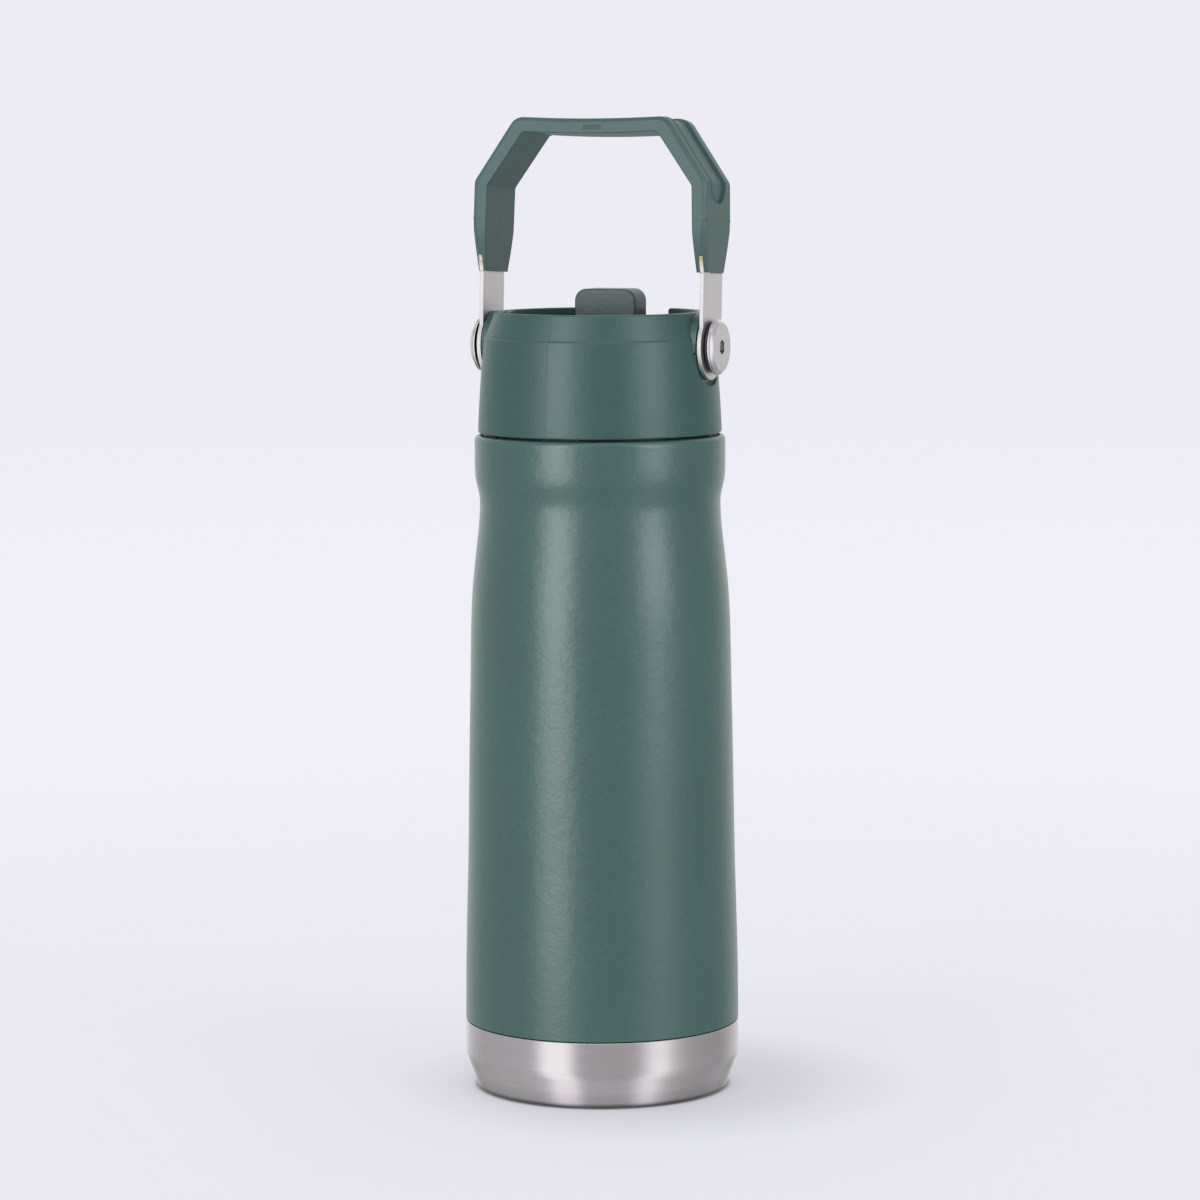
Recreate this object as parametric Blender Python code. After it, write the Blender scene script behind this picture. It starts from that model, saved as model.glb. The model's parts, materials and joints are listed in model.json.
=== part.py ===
"""Vacuum flask with a screw-on lid, a flip-up drinking spout and a swinging carry handle.

The flask stands on the XY plane with its axis on +Z.  +Y is the rear, where the spout's tip
lies in the rim's notch, and the handle and the spout both turn about axes along X.
Sizes below are in millimetres, and MM turns them into Blender's metres as each mesh is built.
"""

import math

import bmesh
import bpy
from mathutils import Vector

MM = 0.001
ROUND = 32            # sides of the large turned pieces
SMALL = 20            # sides of the small turned pieces
JOINT_GAP = 0.3       # gap left between pieces that touch

# Body
BASE_RADIUS = 36.4    # widest part, at the bare steel band
FOOT_RADIUS = 32.6    # outer edge of the flat foot ring
FOOT_INNER = 27.6
PAINT_EDGE = 18.0     # height of the weld between the base cup and the painted shell
SHELL_TOP = 173.95
SHELL_WALL = 0.6
LINER_WALL = 0.5
LINER_INSET = 2.7     # painted surface to the liner's outer surface
LINER_BOTTOM = 9.6
LINER_WELD = 17.0     # height where the liner's bottom cap meets its wall
LIP_ROUND = 1.5
BAND_RADIUS = 33.1    # rolled band that holds the thread
RECESS_TOP = 3.4      # underside of the base's raised middle
RECESS_RADIUS = 26.9
DISC_RADIUS = 26.5    # disc that closes the recess
LIP_INNER = 31.3      # inner edge of the shell's turned-in lip
LINER_LIP = 31.0      # outer edge of the liner's turned-out lip
FOIL_INSET = 1.8      # painted surface to the foil
FOIL_WALL = 0.25
GETTER_AT = (14, 0, 0)

# Side of the painted shell as (height, radius), from the weld up to the rolled band
SIDE = [(18, 36.4), (36, 36.2), (62, 35.5), (88, 35.05), (110, 34.62), (125, 34.3),
        (133.5, 33.85), (141.5, 33.05), (149.5, 32.15), (155, 31.8), (157.5, 31.85),
        (160, 32.35), (162.5, 32.9), (166, 33.1)]

# Neck and thread
NECK_RADIUS = 29.4    # smooth wall of the neck inside
LEDGE_RADIUS = 26.2   # bore below the gasket's ledge
LEDGE_TOP = 158.2
LEDGE_FOOT = 153.5    # where the liner narrows to the ledge's bore
PITCH = 4.0
THREAD_TURNS = 1.5
THREAD_CREST = 0.8    # width of a thread's crest and of its foot
THREAD_FOOT = 1.7
FEMALE_START = 161.4
FEMALE_CREST = 28.2
MALE_START = 163.4
MALE_CREST = 28.9

# Lid
COLLAR_BOTTOM = 174.55
RIM_TOP = 206.3
RIM_OUTER = 27.6
RIM_INNER = 25.8
KINK_HEIGHT = 199.2   # where the collar's side breaks into the upper cone
KINK_RADIUS = 30.5
DECK_TOP = 199.0
DECK_BOTTOM = 186.0
DECK_RADIUS = 27.8
CHANNEL_HALF = 9.1    # half width of the channel that holds the spout
FRONT_FLOOR = 193.0   # floor under the spout's lever when the spout is open
REAR_FLOOR = 193.1
POCKET_FLOOR = 187.9
NOTCH_HALF = 10.5     # half width of the rear notch in the rim
PORT_RADIUS = 3.0     # drinking port under the spout's hub
SPIGOT_TUBE = 4.8     # tube below the port that the straw connector grips
TUBE_FOOT = 178.2
HOLLOW_RADIUS = 22.2  # hollows under the deck on both sides of the channel
HOLLOW_ARC = 52       # degrees to each side of X
VENT_AT = (0, -19.5, 0)
AIR_HOLE_AT = (0, -15, 0)
STRAW_HOLE = 6.7      # hole in the plug's floor round the straw connector
PLUG_RADIUS = 27.6
PLUG_FLOOR = 160.2
SPIGOT_RADIUS = 24.6
SPIGOT_FOOT = 156.0

# Handle pivots, measured along X from the flask's axis
PIVOT_HEIGHT = 197.3
BOSS_RADIUS = 8.8
BOSS_FACE = 30.1
BOSS_INNER = 24.4
SPOT_RADIUS = 10.2    # flat cleared round the boss for the strap's eye
INSERT_HOLE = 4.2
STRAP_FACE = 30.4
STRAP_THICK = 1.15
STRAP_HALF = 7.0
EYE_RADIUS = 8.6
EYE_HOLE = 3.4
SHOULDER_RADIUS = 3.1
WASHER_FACE = 31.85
WASHER_THICK = 0.6
HEAD_FACE = 32.75
HEAD_RADIUS = 7.3
HEX_RADIUS = 2.0

# Handle, with heights measured from the pivot
LEAN = -3.0           # degrees; the handle rests leaning a little to the rear
GRIP_FOOT = 19.3
GRIP_FULL = 30.2      # height where the grip reaches its full depth
CORNER_HEIGHT = 42.8
BAR_TOP = 59.5
GRIP_HALF_DEPTH = 9.75
FOOT_HALF_DEPTH = 7.35
TANG_START = 23.6     # the strap shows in the grip's edges up to here
TANG_TOP = 38.6
TANG_HALF = 5.5
OUTER_FOOT = 32.2     # half widths of the grip's outer path: foot, fullest, corner, bar end
OUTER_FULL = 32.85
OUTER_CORNER = 32.6
OUTER_BAR = 21.3
INNER_FOOT = 29.5     # and of its inner path
INNER_FULL = 28.9
INNER_CORNER = 28.6
INNER_BAR = 18.75
BAR_THICK = 3.9
BAR_SAG = 0.4         # the bar is a little lower in its middle
OUTER_ROUND = 3.5
INNER_ROUND = 1.5
OUTER_CHAMFER = 0.95
INNER_CHAMFER = 0.3

# Spout, measured from its hinge
HINGE_Y = 5.0
HINGE_Z = 194.5
SPOUT_HALF = 8.6
HUB_RADIUS = 5.2
LEVER_FRONT = -1.2
LEVER_REAR = 7.3
LEVER_TOP = 17.5
ARM_BOTTOM = -1.1
ARM_TOP = 8.1
ARM_TIP = 23.0
BORE_RADIUS = 2.6
PIN_RADIUS = 1.5
PIN_HOLE = 1.8

# Straw
STRAW_RADIUS = 4.0
STRAW_BOTTOM = 14.0
STRAW_TOP = 176.6

# Targets cut so many times that only the manifold solver keeps them closed
MANY_CUTS = ("lid_collar", "lid_deck")
SIDES = {"left": -90, "right": 90}    # turn about Y that sends local +Z outwards along X

LOOKS = {
    "green_paint": ((0.062, 0.125, 0.112), 0.42, 0.0),
    "green_plastic": ((0.055, 0.112, 0.1), 0.5, 0.0),
    "spout_plastic": ((0.07, 0.105, 0.1), 0.6, 0.0),
    "brushed_steel": ((0.56, 0.54, 0.53), 0.32, 1.0),
    "liner_steel": ((0.6, 0.59, 0.58), 0.28, 1.0),
    "screw_steel": ((0.58, 0.56, 0.57), 0.22, 1.0),
    "black_plastic": ((0.012, 0.012, 0.013), 0.45, 0.0),
    "brass": ((0.62, 0.45, 0.18), 0.35, 1.0),
    "silicone": ((0.72, 0.74, 0.73), 0.55, 0.0),
    "straw_plastic": ((0.78, 0.82, 0.82), 0.3, 0.0),
    "foil": ((0.75, 0.73, 0.7), 0.3, 1.0),
    "getter_metal": ((0.35, 0.34, 0.33), 0.5, 1.0),
    "glass_solder": ((0.25, 0.24, 0.22), 0.2, 0.0),
}


def clear_scene():
    for old in list(bpy.data.objects):
        bpy.data.objects.remove(old)


def look(name):
    """The named Principled material, made the first time it is asked for."""
    found = bpy.data.materials.get(name)
    if found:
        return found
    colour, roughness, metallic = LOOKS[name]
    made = bpy.data.materials.new(name)
    made.use_nodes = True
    shader = made.node_tree.nodes["Principled BSDF"]
    shader.inputs["Base Color"].default_value = (*colour, 1.0)
    shader.inputs["Roughness"].default_value = roughness
    shader.inputs["Metallic"].default_value = metallic
    made.diffuse_color = (*colour, 1.0)
    return made


def as_object(name, bm, material=None, parent=None, at=(0, 0, 0), turn=(0, 0, 0)):
    """Links bm as an object placed at a point in millimetres and turned by degrees."""
    bmesh.ops.recalc_face_normals(bm, faces=bm.faces)
    mesh = bpy.data.meshes.new(name)
    bm.to_mesh(mesh)
    bm.free()
    mesh.shade_smooth()
    mesh.set_sharp_from_angle(angle=math.radians(35))
    made = bpy.data.objects.new(name, mesh)
    bpy.context.scene.collection.objects.link(made)
    made.location = Vector(at) * MM
    made.rotation_euler = [math.radians(angle) for angle in turn]
    made.parent = parent
    if material:
        mesh.materials.append(look(material))
    return made


def pivot(name, at, turn=(0, 0, 0)):
    empty = bpy.data.objects.new(name, None)
    bpy.context.scene.collection.objects.link(empty)
    empty.location = Vector(at) * MM
    empty.rotation_euler = [math.radians(angle) for angle in turn]
    return empty


def arc(centre, radius, start, end, steps):
    """Points on an arc from start to end degrees, both ends included."""
    angles = [math.radians(start + (end - start) * k / steps) for k in range(steps + 1)]
    return [(centre[0] + radius * math.cos(a), centre[1] + radius * math.sin(a))
            for a in angles]


def side_radius(height):
    """Radius of the painted shell at a height, on a smooth curve through SIDE."""
    heights = [point[0] for point in SIDE]
    radii = [point[1] for point in SIDE]
    if height >= heights[-1]:
        return BAND_RADIUS
    last = len(SIDE) - 1
    k = max(i for i in range(last) if i == 0 or heights[i] <= height)

    def slope(i):
        low, high = max(i - 1, 0), min(i + 1, last)
        return (radii[high] - radii[low]) / (heights[high] - heights[low])

    span = heights[k + 1] - heights[k]
    t = (height - heights[k]) / span
    rise = t * t * (3 - 2 * t)
    start = t * (1 - t) ** 2 * span * slope(k)
    end = t * t * (t - 1) * span * slope(k + 1)
    return radii[k] + rise * (radii[k + 1] - radii[k]) + start + end


def side_heights(low):
    """Heights of SIDE above low, with a middle height between those that are close together."""
    knots = [point[0] for point in SIDE]
    middles = [(a + b) / 2 for a, b in zip(knots, knots[1:]) if 2.6 < b - a < 9]
    return [low] + [height for height in sorted(knots + middles) if height > low]


def turned(outline, sides=ROUND):
    """Turns a closed outline of (radius, height) about Z."""
    bm = bmesh.new()
    rings = []
    for radius, height in outline:
        if radius == 0:
            rings.append([bm.verts.new((0, 0, height * MM))] * sides)
            continue
        corners = arc((0, 0), radius * MM, 0, 360 - 360 / sides, sides - 1)
        rings.append([bm.verts.new((x, y, height * MM)) for x, y in corners])
    for ring, following in zip(rings, rings[1:] + rings[:1]):
        for k in range(sides):
            after = (k + 1) % sides
            corners = [ring[k], ring[after], following[after], following[k]]
            corners = list(dict.fromkeys(corners))
            if len(corners) > 2:
                bm.faces.new(corners)
    return bm


def prism(outline, low, high, axes):
    """Extrudes an outline in the first two of the three axes along the third, low to high."""
    order = ["XYZ".index(letter) for letter in axes]
    bm = bmesh.new()
    layers = []
    for level in (low, high):
        layer = []
        for u, v in outline:
            place = [0.0, 0.0, 0.0]
            for index, value in zip(order, (u, v, level)):
                place[index] = value * MM
            layer.append(bm.verts.new(place))
        layers.append(layer)
    first, second = layers
    bm.faces.new(first)
    bm.faces.new(list(reversed(second)))
    count = len(outline)
    for k in range(count):
        after = (k + 1) % count
        bm.faces.new([first[after], first[k], second[k], second[after]])
    return bm


def rounded_box(width, low, high, radius, steps=3):
    """Outline of a box centred on the first axis, with both lower corners rounded."""
    half = width / 2
    left = arc((-half + radius, low + radius), radius, 180, 270, steps)
    right = arc((half - radius, low + radius), radius, 270, 360, steps)
    return left + right + [(half, high), (-half, high)]


def helix_ridge(root, crest, start, turns=THREAD_TURNS):
    """One thread ridge from radius root to radius crest, run out to nothing at both ends."""
    steps = int(turns * ROUND)
    fade = ROUND // 8
    bm = bmesh.new()
    sections = []
    for k in range(steps + 1):
        angle = 2 * math.pi * k / ROUND
        middle = start + PITCH * k / ROUND
        grow = min(1.0, (k + 0.4) / fade, (steps - k + 0.4) / fade)
        tip = root + (crest - root) * (0.35 + 0.65 * grow)
        corners = [(root, -THREAD_FOOT / 2), (tip, -THREAD_CREST / 2),
                   (tip, THREAD_CREST / 2), (root, THREAD_FOOT / 2)]
        ray = Vector((math.cos(angle), math.sin(angle), 0))
        sections.append([bm.verts.new((ray * r + Vector((0, 0, middle + h))) * MM)
                         for r, h in corners])
    for section, following in zip(sections, sections[1:]):
        for k in range(4):
            after = (k + 1) % 4
            bm.faces.new([section[k], section[after], following[after], following[k]])
    bm.faces.new(sections[0])
    bm.faces.new(sections[-1])
    return bm


def swept_tube(path, radius, sides):
    """A round bar along points in the YZ plane."""
    bm = bmesh.new()
    points = [Vector((0, y, z)) for y, z in path]
    rings = []
    for k, point in enumerate(points):
        ahead = points[min(k + 1, len(points) - 1)] - points[max(k - 1, 0)]
        across = ahead.normalized().cross(Vector((1, 0, 0)))
        circle = arc((0, 0), radius, 0, 360 - 360 / sides, sides - 1)
        rings.append([bm.verts.new((point + Vector((u, 0, 0)) + across * v) * MM)
                      for u, v in circle])
    for ring, following in zip(rings, rings[1:]):
        for k in range(sides):
            after = (k + 1) % sides
            bm.faces.new([ring[k], ring[after], following[after], following[k]])
    bm.faces.new(rings[0])
    bm.faces.new(rings[-1])
    return bm


def combine(target, operation, name, bm, parent=None, at=(0, 0, 0), turn=(0, 0, 0)):
    """Adds or cuts a shape, kept in the scene as a hidden guide."""
    tool = as_object(name, bm, parent=parent, at=at, turn=turn)
    tool.hide_render = True
    tool.display_type = "WIRE"
    step = target.modifiers.new(name, "BOOLEAN")
    step.operation = operation
    step.object = tool
    step.solver = "MANIFOLD" if target.name in MANY_CUTS else "EXACT"


def make_outer_shell():
    outer = arc((BAND_RADIUS - LIP_ROUND, SHELL_TOP - LIP_ROUND), LIP_ROUND, 90, 0, 4)
    heights = side_heights(PAINT_EDGE + 0.15)
    outer += [(side_radius(h), h) for h in reversed(heights)]
    inner = [(side_radius(h) - SHELL_WALL, h) for h in heights[::2]]
    neck = BAND_RADIUS - SHELL_WALL
    inner += [(neck, SHELL_TOP - LIP_ROUND), (neck - 0.9, SHELL_TOP - SHELL_WALL)]
    inner += [(LIP_INNER, SHELL_TOP - SHELL_WALL), (LIP_INNER, SHELL_TOP)]
    as_object("outer_shell", turned(outer + inner), "green_paint")


def make_outer_base():
    inside = BASE_RADIUS - SHELL_WALL
    top = PAINT_EDGE - 0.15
    outline = [(BASE_RADIUS, top)]
    outline += arc((BASE_RADIUS - 1.5, 9.2), 1.5, 0, -22, 2)
    outline += arc((FOOT_RADIUS, 0.8), 0.8, -22, -90, 2)
    outline += [(FOOT_INNER, 0), (RECESS_RADIUS, 0.6), (RECESS_RADIUS, RECESS_TOP),
                (1.0, RECESS_TOP)]
    outline += [(1.0, RECESS_TOP + SHELL_WALL), (27.5, RECESS_TOP + SHELL_WALL)]
    outline += [(28.1, SHELL_WALL), (FOOT_RADIUS - 0.3, SHELL_WALL), (33.0, 1.4)]
    outline += [(inside - 0.15, 8.9), (inside, 9.6), (inside, top)]
    as_object("outer_base", turned(outline), "brushed_steel")
    disc = [(0, 0.8), (DISC_RADIUS - 0.4, 0.8), (DISC_RADIUS, 1.1), (DISC_RADIUS, 1.5), (0, 1.5)]
    as_object("base_disc", turned(disc), "brushed_steel")
    bead = [(0, 3.1), (2.0, 3.1), (2.4, 2.7), (1.6, 2.1), (0, 1.9)]
    as_object("evacuation_seal", turned(bead, SMALL), "glass_solder")


def make_liner():
    """Inner bottle: straight wall, ledge for the gasket, threaded neck and turned-out lip."""
    heights = [LINER_WELD + JOINT_GAP, 62, 110, 133.5, 145.5]
    body = [(side_radius(h) - LINER_INSET, h) for h in heights]
    wall = LINER_WALL
    inside = [(radius - wall, height) for radius, height in body]
    inside += [(LEDGE_RADIUS + 0.6, LEDGE_FOOT - 1.6), (LEDGE_RADIUS, LEDGE_FOOT)]
    inside += [(LEDGE_RADIUS, LEDGE_TOP), (NECK_RADIUS, LEDGE_TOP)]
    inside += [(NECK_RADIUS, SHELL_TOP - 1.35), (NECK_RADIUS + 0.5, SHELL_TOP)]
    outside = [(LINER_LIP, SHELL_TOP), (LINER_LIP, SHELL_TOP - wall),
               (NECK_RADIUS + 0.9, SHELL_TOP - 0.95)]
    outside += [(NECK_RADIUS + wall, SHELL_TOP - 1.95), (NECK_RADIUS + wall, LEDGE_TOP - wall)]
    outside += [(LEDGE_RADIUS + wall, LEDGE_TOP - wall), (LEDGE_RADIUS + wall, LEDGE_FOOT)]
    outside += [(LEDGE_RADIUS + 1.1, LEDGE_FOOT - 1.8)] + list(reversed(body))
    liner = as_object("inner_liner", turned(inside + outside), "liner_steel")
    ridge = helix_ridge(NECK_RADIUS + 0.25, FEMALE_CREST, FEMALE_START)
    combine(liner, "UNION", "female_thread", ridge)


def make_liner_bottom():
    rim = side_radius(PAINT_EDGE) - LINER_INSET
    corner = 5.0
    centre = (rim - corner, LINER_BOTTOM + corner)
    outer = [(rim, LINER_WELD)] + arc(centre, corner, 0, -90, 3)
    outer += [(18, LINER_BOTTOM), (14, LINER_BOTTOM + 1.0), (0, LINER_BOTTOM + 1.3)]
    inner = [(0, LINER_BOTTOM + 1.8), (14, LINER_BOTTOM + 1.5), (18, LINER_BOTTOM + 0.5)]
    inner += arc(centre, corner - LINER_WALL, -90, 0, 3) + [(rim - LINER_WALL, LINER_WELD)]
    as_object("inner_bottom", turned(outer + inner), "liner_steel")


def make_vacuum_parts():
    """Heat-reflecting foil round the liner, and the getter that keeps the vacuum."""
    heights = [22, 88, 126, 143]
    inner = [(side_radius(h) - FOIL_INSET, h) for h in heights]
    outer = [(radius + FOIL_WALL, h) for radius, h in reversed(inner)]
    as_object("radiation_foil", turned(outer + inner), "foil")
    can = [(0, 4.4), (4.6, 4.4), (5.0, 4.8), (5.0, 6.4), (4.4, 6.8), (0, 6.8)]
    as_object("getter", turned(can, SMALL), "getter_metal", at=GETTER_AT)


def collar_outline():
    outer = arc((RIM_OUTER - 0.8, RIM_TOP - 0.8), 0.8, 90, 20, 3)
    outer += [(KINK_RADIUS - 0.35, KINK_HEIGHT + 0.7), (KINK_RADIUS, KINK_HEIGHT - 0.3)]
    outer += [(31.3, 189.5), (31.85, 181.6), (32.1, 176.6), (32.14, COLLAR_BOTTOM + 0.35)]
    outer += [(31.85, COLLAR_BOTTOM)]
    inner = [(30.1, COLLAR_BOTTOM), (30.0, 181), (29.4, 189.5), (28.6, 197.6)]
    inner += [(28.2, 199.4), (RIM_INNER, 204.2), (RIM_INNER, RIM_TOP - 0.4)]
    inner += [(RIM_INNER + 0.4, RIM_TOP)]
    return outer + inner


def make_collar(lid):
    collar = as_object("lid_collar", turned(collar_outline()), "green_plastic", lid)
    boss = [(0, BOSS_INNER), (BOSS_RADIUS, BOSS_INNER), (BOSS_RADIUS, BOSS_FACE + 1),
            (0, BOSS_FACE + 1)]
    facing = [(0, 24.9), (INSERT_HOLE, 24.9), (INSERT_HOLE, BOSS_FACE),
              (SPOT_RADIUS, BOSS_FACE), (SPOT_RADIUS, 36), (0, 36)]
    for side, turn in SIDES.items():
        place = {"parent": lid, "at": (0, 0, PIVOT_HEIGHT), "turn": (0, turn, 0)}
        combine(collar, "UNION", side + "_boss", turned(boss, 28), **place)
        combine(collar, "DIFFERENCE", side + "_facing", turned(facing, 28), **place)
    notch = rounded_box(2 * NOTCH_HALF, REAR_FLOOR, RIM_TOP + 3, 2.0)
    combine(collar, "DIFFERENCE", "rim_notch", prism(notch, 18, 36, "XZY"), lid)


def channel_outline():
    """Side view (Y, Z) of the channel: front floor, hub pocket and rear floor."""
    pocket = HUB_RADIUS + 0.7
    top = DECK_TOP + 3
    return [(HINGE_Y - LEVER_TOP - 0.6, top), (HINGE_Y - LEVER_TOP - 0.6, FRONT_FLOOR),
            (HINGE_Y - pocket, FRONT_FLOOR), (HINGE_Y - pocket, POCKET_FLOOR),
            (HINGE_Y + pocket, POCKET_FLOOR), (HINGE_Y + pocket, REAR_FLOOR),
            (34, REAR_FLOOR), (34, top)]


def make_deck(lid):
    """Top of the lid inside the rim: a channel for the spout, its port and its hinge holes."""
    disc = [(0, DECK_TOP), (DECK_RADIUS - 0.6, DECK_TOP), (DECK_RADIUS, DECK_TOP - 0.8),
            (DECK_RADIUS, DECK_BOTTOM), (0, DECK_BOTTOM)]
    deck = as_object("lid_deck", turned(disc), "green_plastic", lid)
    tube = [(0, TUBE_FOOT), (SPIGOT_TUBE, TUBE_FOOT), (SPIGOT_TUBE, DECK_BOTTOM + 1),
            (0, DECK_BOTTOM + 1)]
    spout_at = (0, HINGE_Y, 0)
    combine(deck, "UNION", "port_tube", turned(tube, SMALL), lid, spout_at)
    channel = prism(channel_outline(), -CHANNEL_HALF, CHANNEL_HALF, "YZX")
    combine(deck, "DIFFERENCE", "channel", channel, lid)
    port = [(0, 170), (PORT_RADIUS, 170), (PORT_RADIUS, 190), (0, 190)]
    combine(deck, "DIFFERENCE", "port", turned(port, SMALL), lid, spout_at)
    scallop = [(0, BOSS_INNER - 0.4), (BOSS_RADIUS + 0.4, BOSS_INNER - 0.4),
               (BOSS_RADIUS + 0.4, 32), (0, 32)]
    pin_hole = [(0, CHANNEL_HALF - 1), (PIN_HOLE, CHANNEL_HALF - 1), (PIN_HOLE, 12.4), (0, 12.4)]
    pocket = arc((0, 0), HOLLOW_RADIUS, -HOLLOW_ARC, HOLLOW_ARC, 8)
    for side, turn in SIDES.items():
        at = (0, 0, PIVOT_HEIGHT)
        combine(deck, "DIFFERENCE", side + "_scallop", turned(scallop, 24), lid, at, (0, turn, 0))
        at = (0, HINGE_Y, HINGE_Z)
        combine(deck, "DIFFERENCE", side + "_pin_hole", turned(pin_hole, 16), lid, at,
                (0, turn, 0))
        hollow = prism(pocket, 180, DECK_TOP - 2, "XYZ")
        spin = 180 if side == "left" else 0
        combine(deck, "DIFFERENCE", side + "_hollow", hollow, lid, turn=(0, 0, spin))
    front = [(-7, -25), (7, -25), (7, -15), (-7, -15)]
    combine(deck, "DIFFERENCE", "front_hollow", prism(front, 180, DECK_TOP - 2, "XYZ"), lid)
    vent = [(0, 190), (1.6, 190), (1.6, 202), (0, 202)]
    combine(deck, "DIFFERENCE", "vent_hole", turned(vent, 12), lid, VENT_AT)


def make_plug(lid):
    """Threaded cup under the lid, with a spigot that carries the gasket."""
    outline = [(0, PLUG_FLOOR), (22.8, PLUG_FLOOR), (22.8, SPIGOT_FOOT), (25.0, SPIGOT_FOOT),
               (25.3, 156.5), (SPIGOT_RADIUS, 157.3), (SPIGOT_RADIUS, PLUG_FLOOR),
               (PLUG_RADIUS, PLUG_FLOOR), (PLUG_RADIUS, 174.9), (29.7, 174.9), (29.7, 176.9),
               (PLUG_RADIUS, 176.9), (PLUG_RADIUS, 185.7), (25.8, 185.7), (25.8, 162.2),
               (0, 162.2)]
    plug = as_object("thread_plug", turned(outline), "green_plastic", lid)
    ridge = helix_ridge(PLUG_RADIUS - 0.3, MALE_CREST, MALE_START)
    combine(plug, "UNION", "male_thread", ridge, lid)
    hole = [(0, 155), (STRAW_HOLE, 155), (STRAW_HOLE, 165), (0, 165)]
    combine(plug, "DIFFERENCE", "straw_hole", turned(hole, 24), lid, (0, HINGE_Y, 0))
    vent = [(0, 155), (1.5, 155), (1.5, 165), (0, 165)]
    combine(plug, "DIFFERENCE", "air_hole", turned(vent, 12), lid, AIR_HOLE_AT)


def make_gasket(lift):
    inner, outer = SPIGOT_RADIUS + 0.3, PLUG_RADIUS + 0.2
    low, high = LEDGE_TOP + JOINT_GAP, PLUG_FLOOR - JOINT_GAP
    outline = [(outer, high - 0.3), (outer, low + 0.2), (outer - 0.3, low), (inner, low),
               (inner, high), (outer - 0.3, high)]
    as_object("lid_gasket", turned(outline), "silicone", lift)


def make_drinking_parts(lid):
    """Port seal under the spout's hub, straw connector, straw and vent valve."""
    seal = [(3.2, 188.2), (5.0, 188.2), (5.0, 188.7), (4.2, 189.0), (3.2, 189.0)]
    at = (0, HINGE_Y, 0)
    as_object("port_seal", turned(seal, SMALL), "silicone", lid, at)
    sleeve = [(5.1, 185.6), (6.3, 185.6), (6.3, 160), (5.4, 156), (4.3, 156), (4.3, 177.2),
              (5.1, 177.9)]
    as_object("straw_connector", turned(sleeve, SMALL), "silicone", lid, at)
    tube = [(STRAW_RADIUS, STRAW_TOP), (STRAW_RADIUS, STRAW_BOTTOM),
            (STRAW_RADIUS - 0.8, STRAW_BOTTOM), (STRAW_RADIUS - 0.8, STRAW_TOP)]
    straw = as_object("straw", turned(tube, SMALL), "straw_plastic", lid, at)
    slant = [(-6, STRAW_BOTTOM - 2), (6, STRAW_BOTTOM - 2), (6, STRAW_BOTTOM + 5)]
    combine(straw, "DIFFERENCE", "slant_cut", prism(slant, -6, 6, "XZY"), lid, at)
    valve = [(0, 200.2), (2.0, 200.1), (2.9, 199.6), (2.9, 199.3), (1.2, 199.3), (1.2, 196.6),
             (1.9, 196.2), (1.3, 194.6), (0, 194.6)]
    as_object("vent_valve", turned(valve, 16), "silicone", lid, VENT_AT)


def spout_outline():
    """Side view (Y, Z) from the hinge: round hub, upright lever and long mouthpiece."""
    top_meet = 180 - math.degrees(math.acos(-LEVER_FRONT / HUB_RADIUS))
    arm_meet = 360 + math.degrees(math.asin(ARM_BOTTOM / HUB_RADIUS))
    hub = arc((0, 0), HUB_RADIUS, top_meet, arm_meet, 14)
    tip = [(ARM_TIP - 1.6, ARM_BOTTOM), (ARM_TIP, ARM_BOTTOM + 2.0), (ARM_TIP, ARM_TOP - 1.6),
           (ARM_TIP - 1.0, ARM_TOP)]
    root = arc((LEVER_REAR + 1.5, ARM_TOP + 1.5), 1.5, 270, 180, 2)
    lever = [(LEVER_REAR, LEVER_TOP - 0.8), (LEVER_REAR - 0.8, LEVER_TOP),
             (LEVER_FRONT + 0.6, LEVER_TOP), (LEVER_FRONT, LEVER_TOP - 0.6)]
    return hub + tip + root + lever


def make_spout(lid):
    bm = prism(spout_outline(), -SPOUT_HALF, SPOUT_HALF, "YZX")

    def on_side(edge):
        return abs(edge.verts[0].co.x - edge.verts[1].co.x) < 1e-7

    def high(edge):
        return all(v.co.z > (LEVER_TOP - 0.2) * MM for v in edge.verts)

    def far(edge):
        return all(v.co.y > (ARM_TIP - 0.5) * MM for v in edge.verts)

    bm.edges.ensure_lookup_table()
    tops = [e for e in bm.edges if on_side(e) and high(e)]
    tips = [e for e in bm.edges if on_side(e) and far(e)]
    bmesh.ops.bevel(bm, geom=tops, offset=3.2 * MM, segments=4, affect="EDGES", profile=0.5)
    tips = [e for e in tips if e.is_valid]
    bmesh.ops.bevel(bm, geom=tips, offset=3.0 * MM, segments=3, affect="EDGES", profile=0.5)
    hinge = (0, HINGE_Y, HINGE_Z)
    spout = as_object("spout", bm, "spout_plastic", lid, hinge)
    path = [(-7, 0), (3, 0), (6.5, 1.2), (10, 2.6), (13, 3.4), (28, 3.5)]
    combine(spout, "DIFFERENCE", "drink_bore", swept_tube(path, BORE_RADIUS, 14), lid, hinge)
    hole = [(0, 3.9), (PIN_HOLE, 3.9), (PIN_HOLE, 10), (0, 10)]
    pin = [(0, 4.3), (PIN_RADIUS - 0.2, 4.3), (PIN_RADIUS, 4.5), (PIN_RADIUS, 12.0), (0, 12.0)]
    for side, turn in SIDES.items():
        combine(spout, "DIFFERENCE", side + "_pin_bore", turned(hole, 16), lid, hinge,
                (0, turn, 0))
        as_object(side + "_spout_pin", turned(pin, 16), "screw_steel", lid, hinge, (0, turn, 0))


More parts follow.
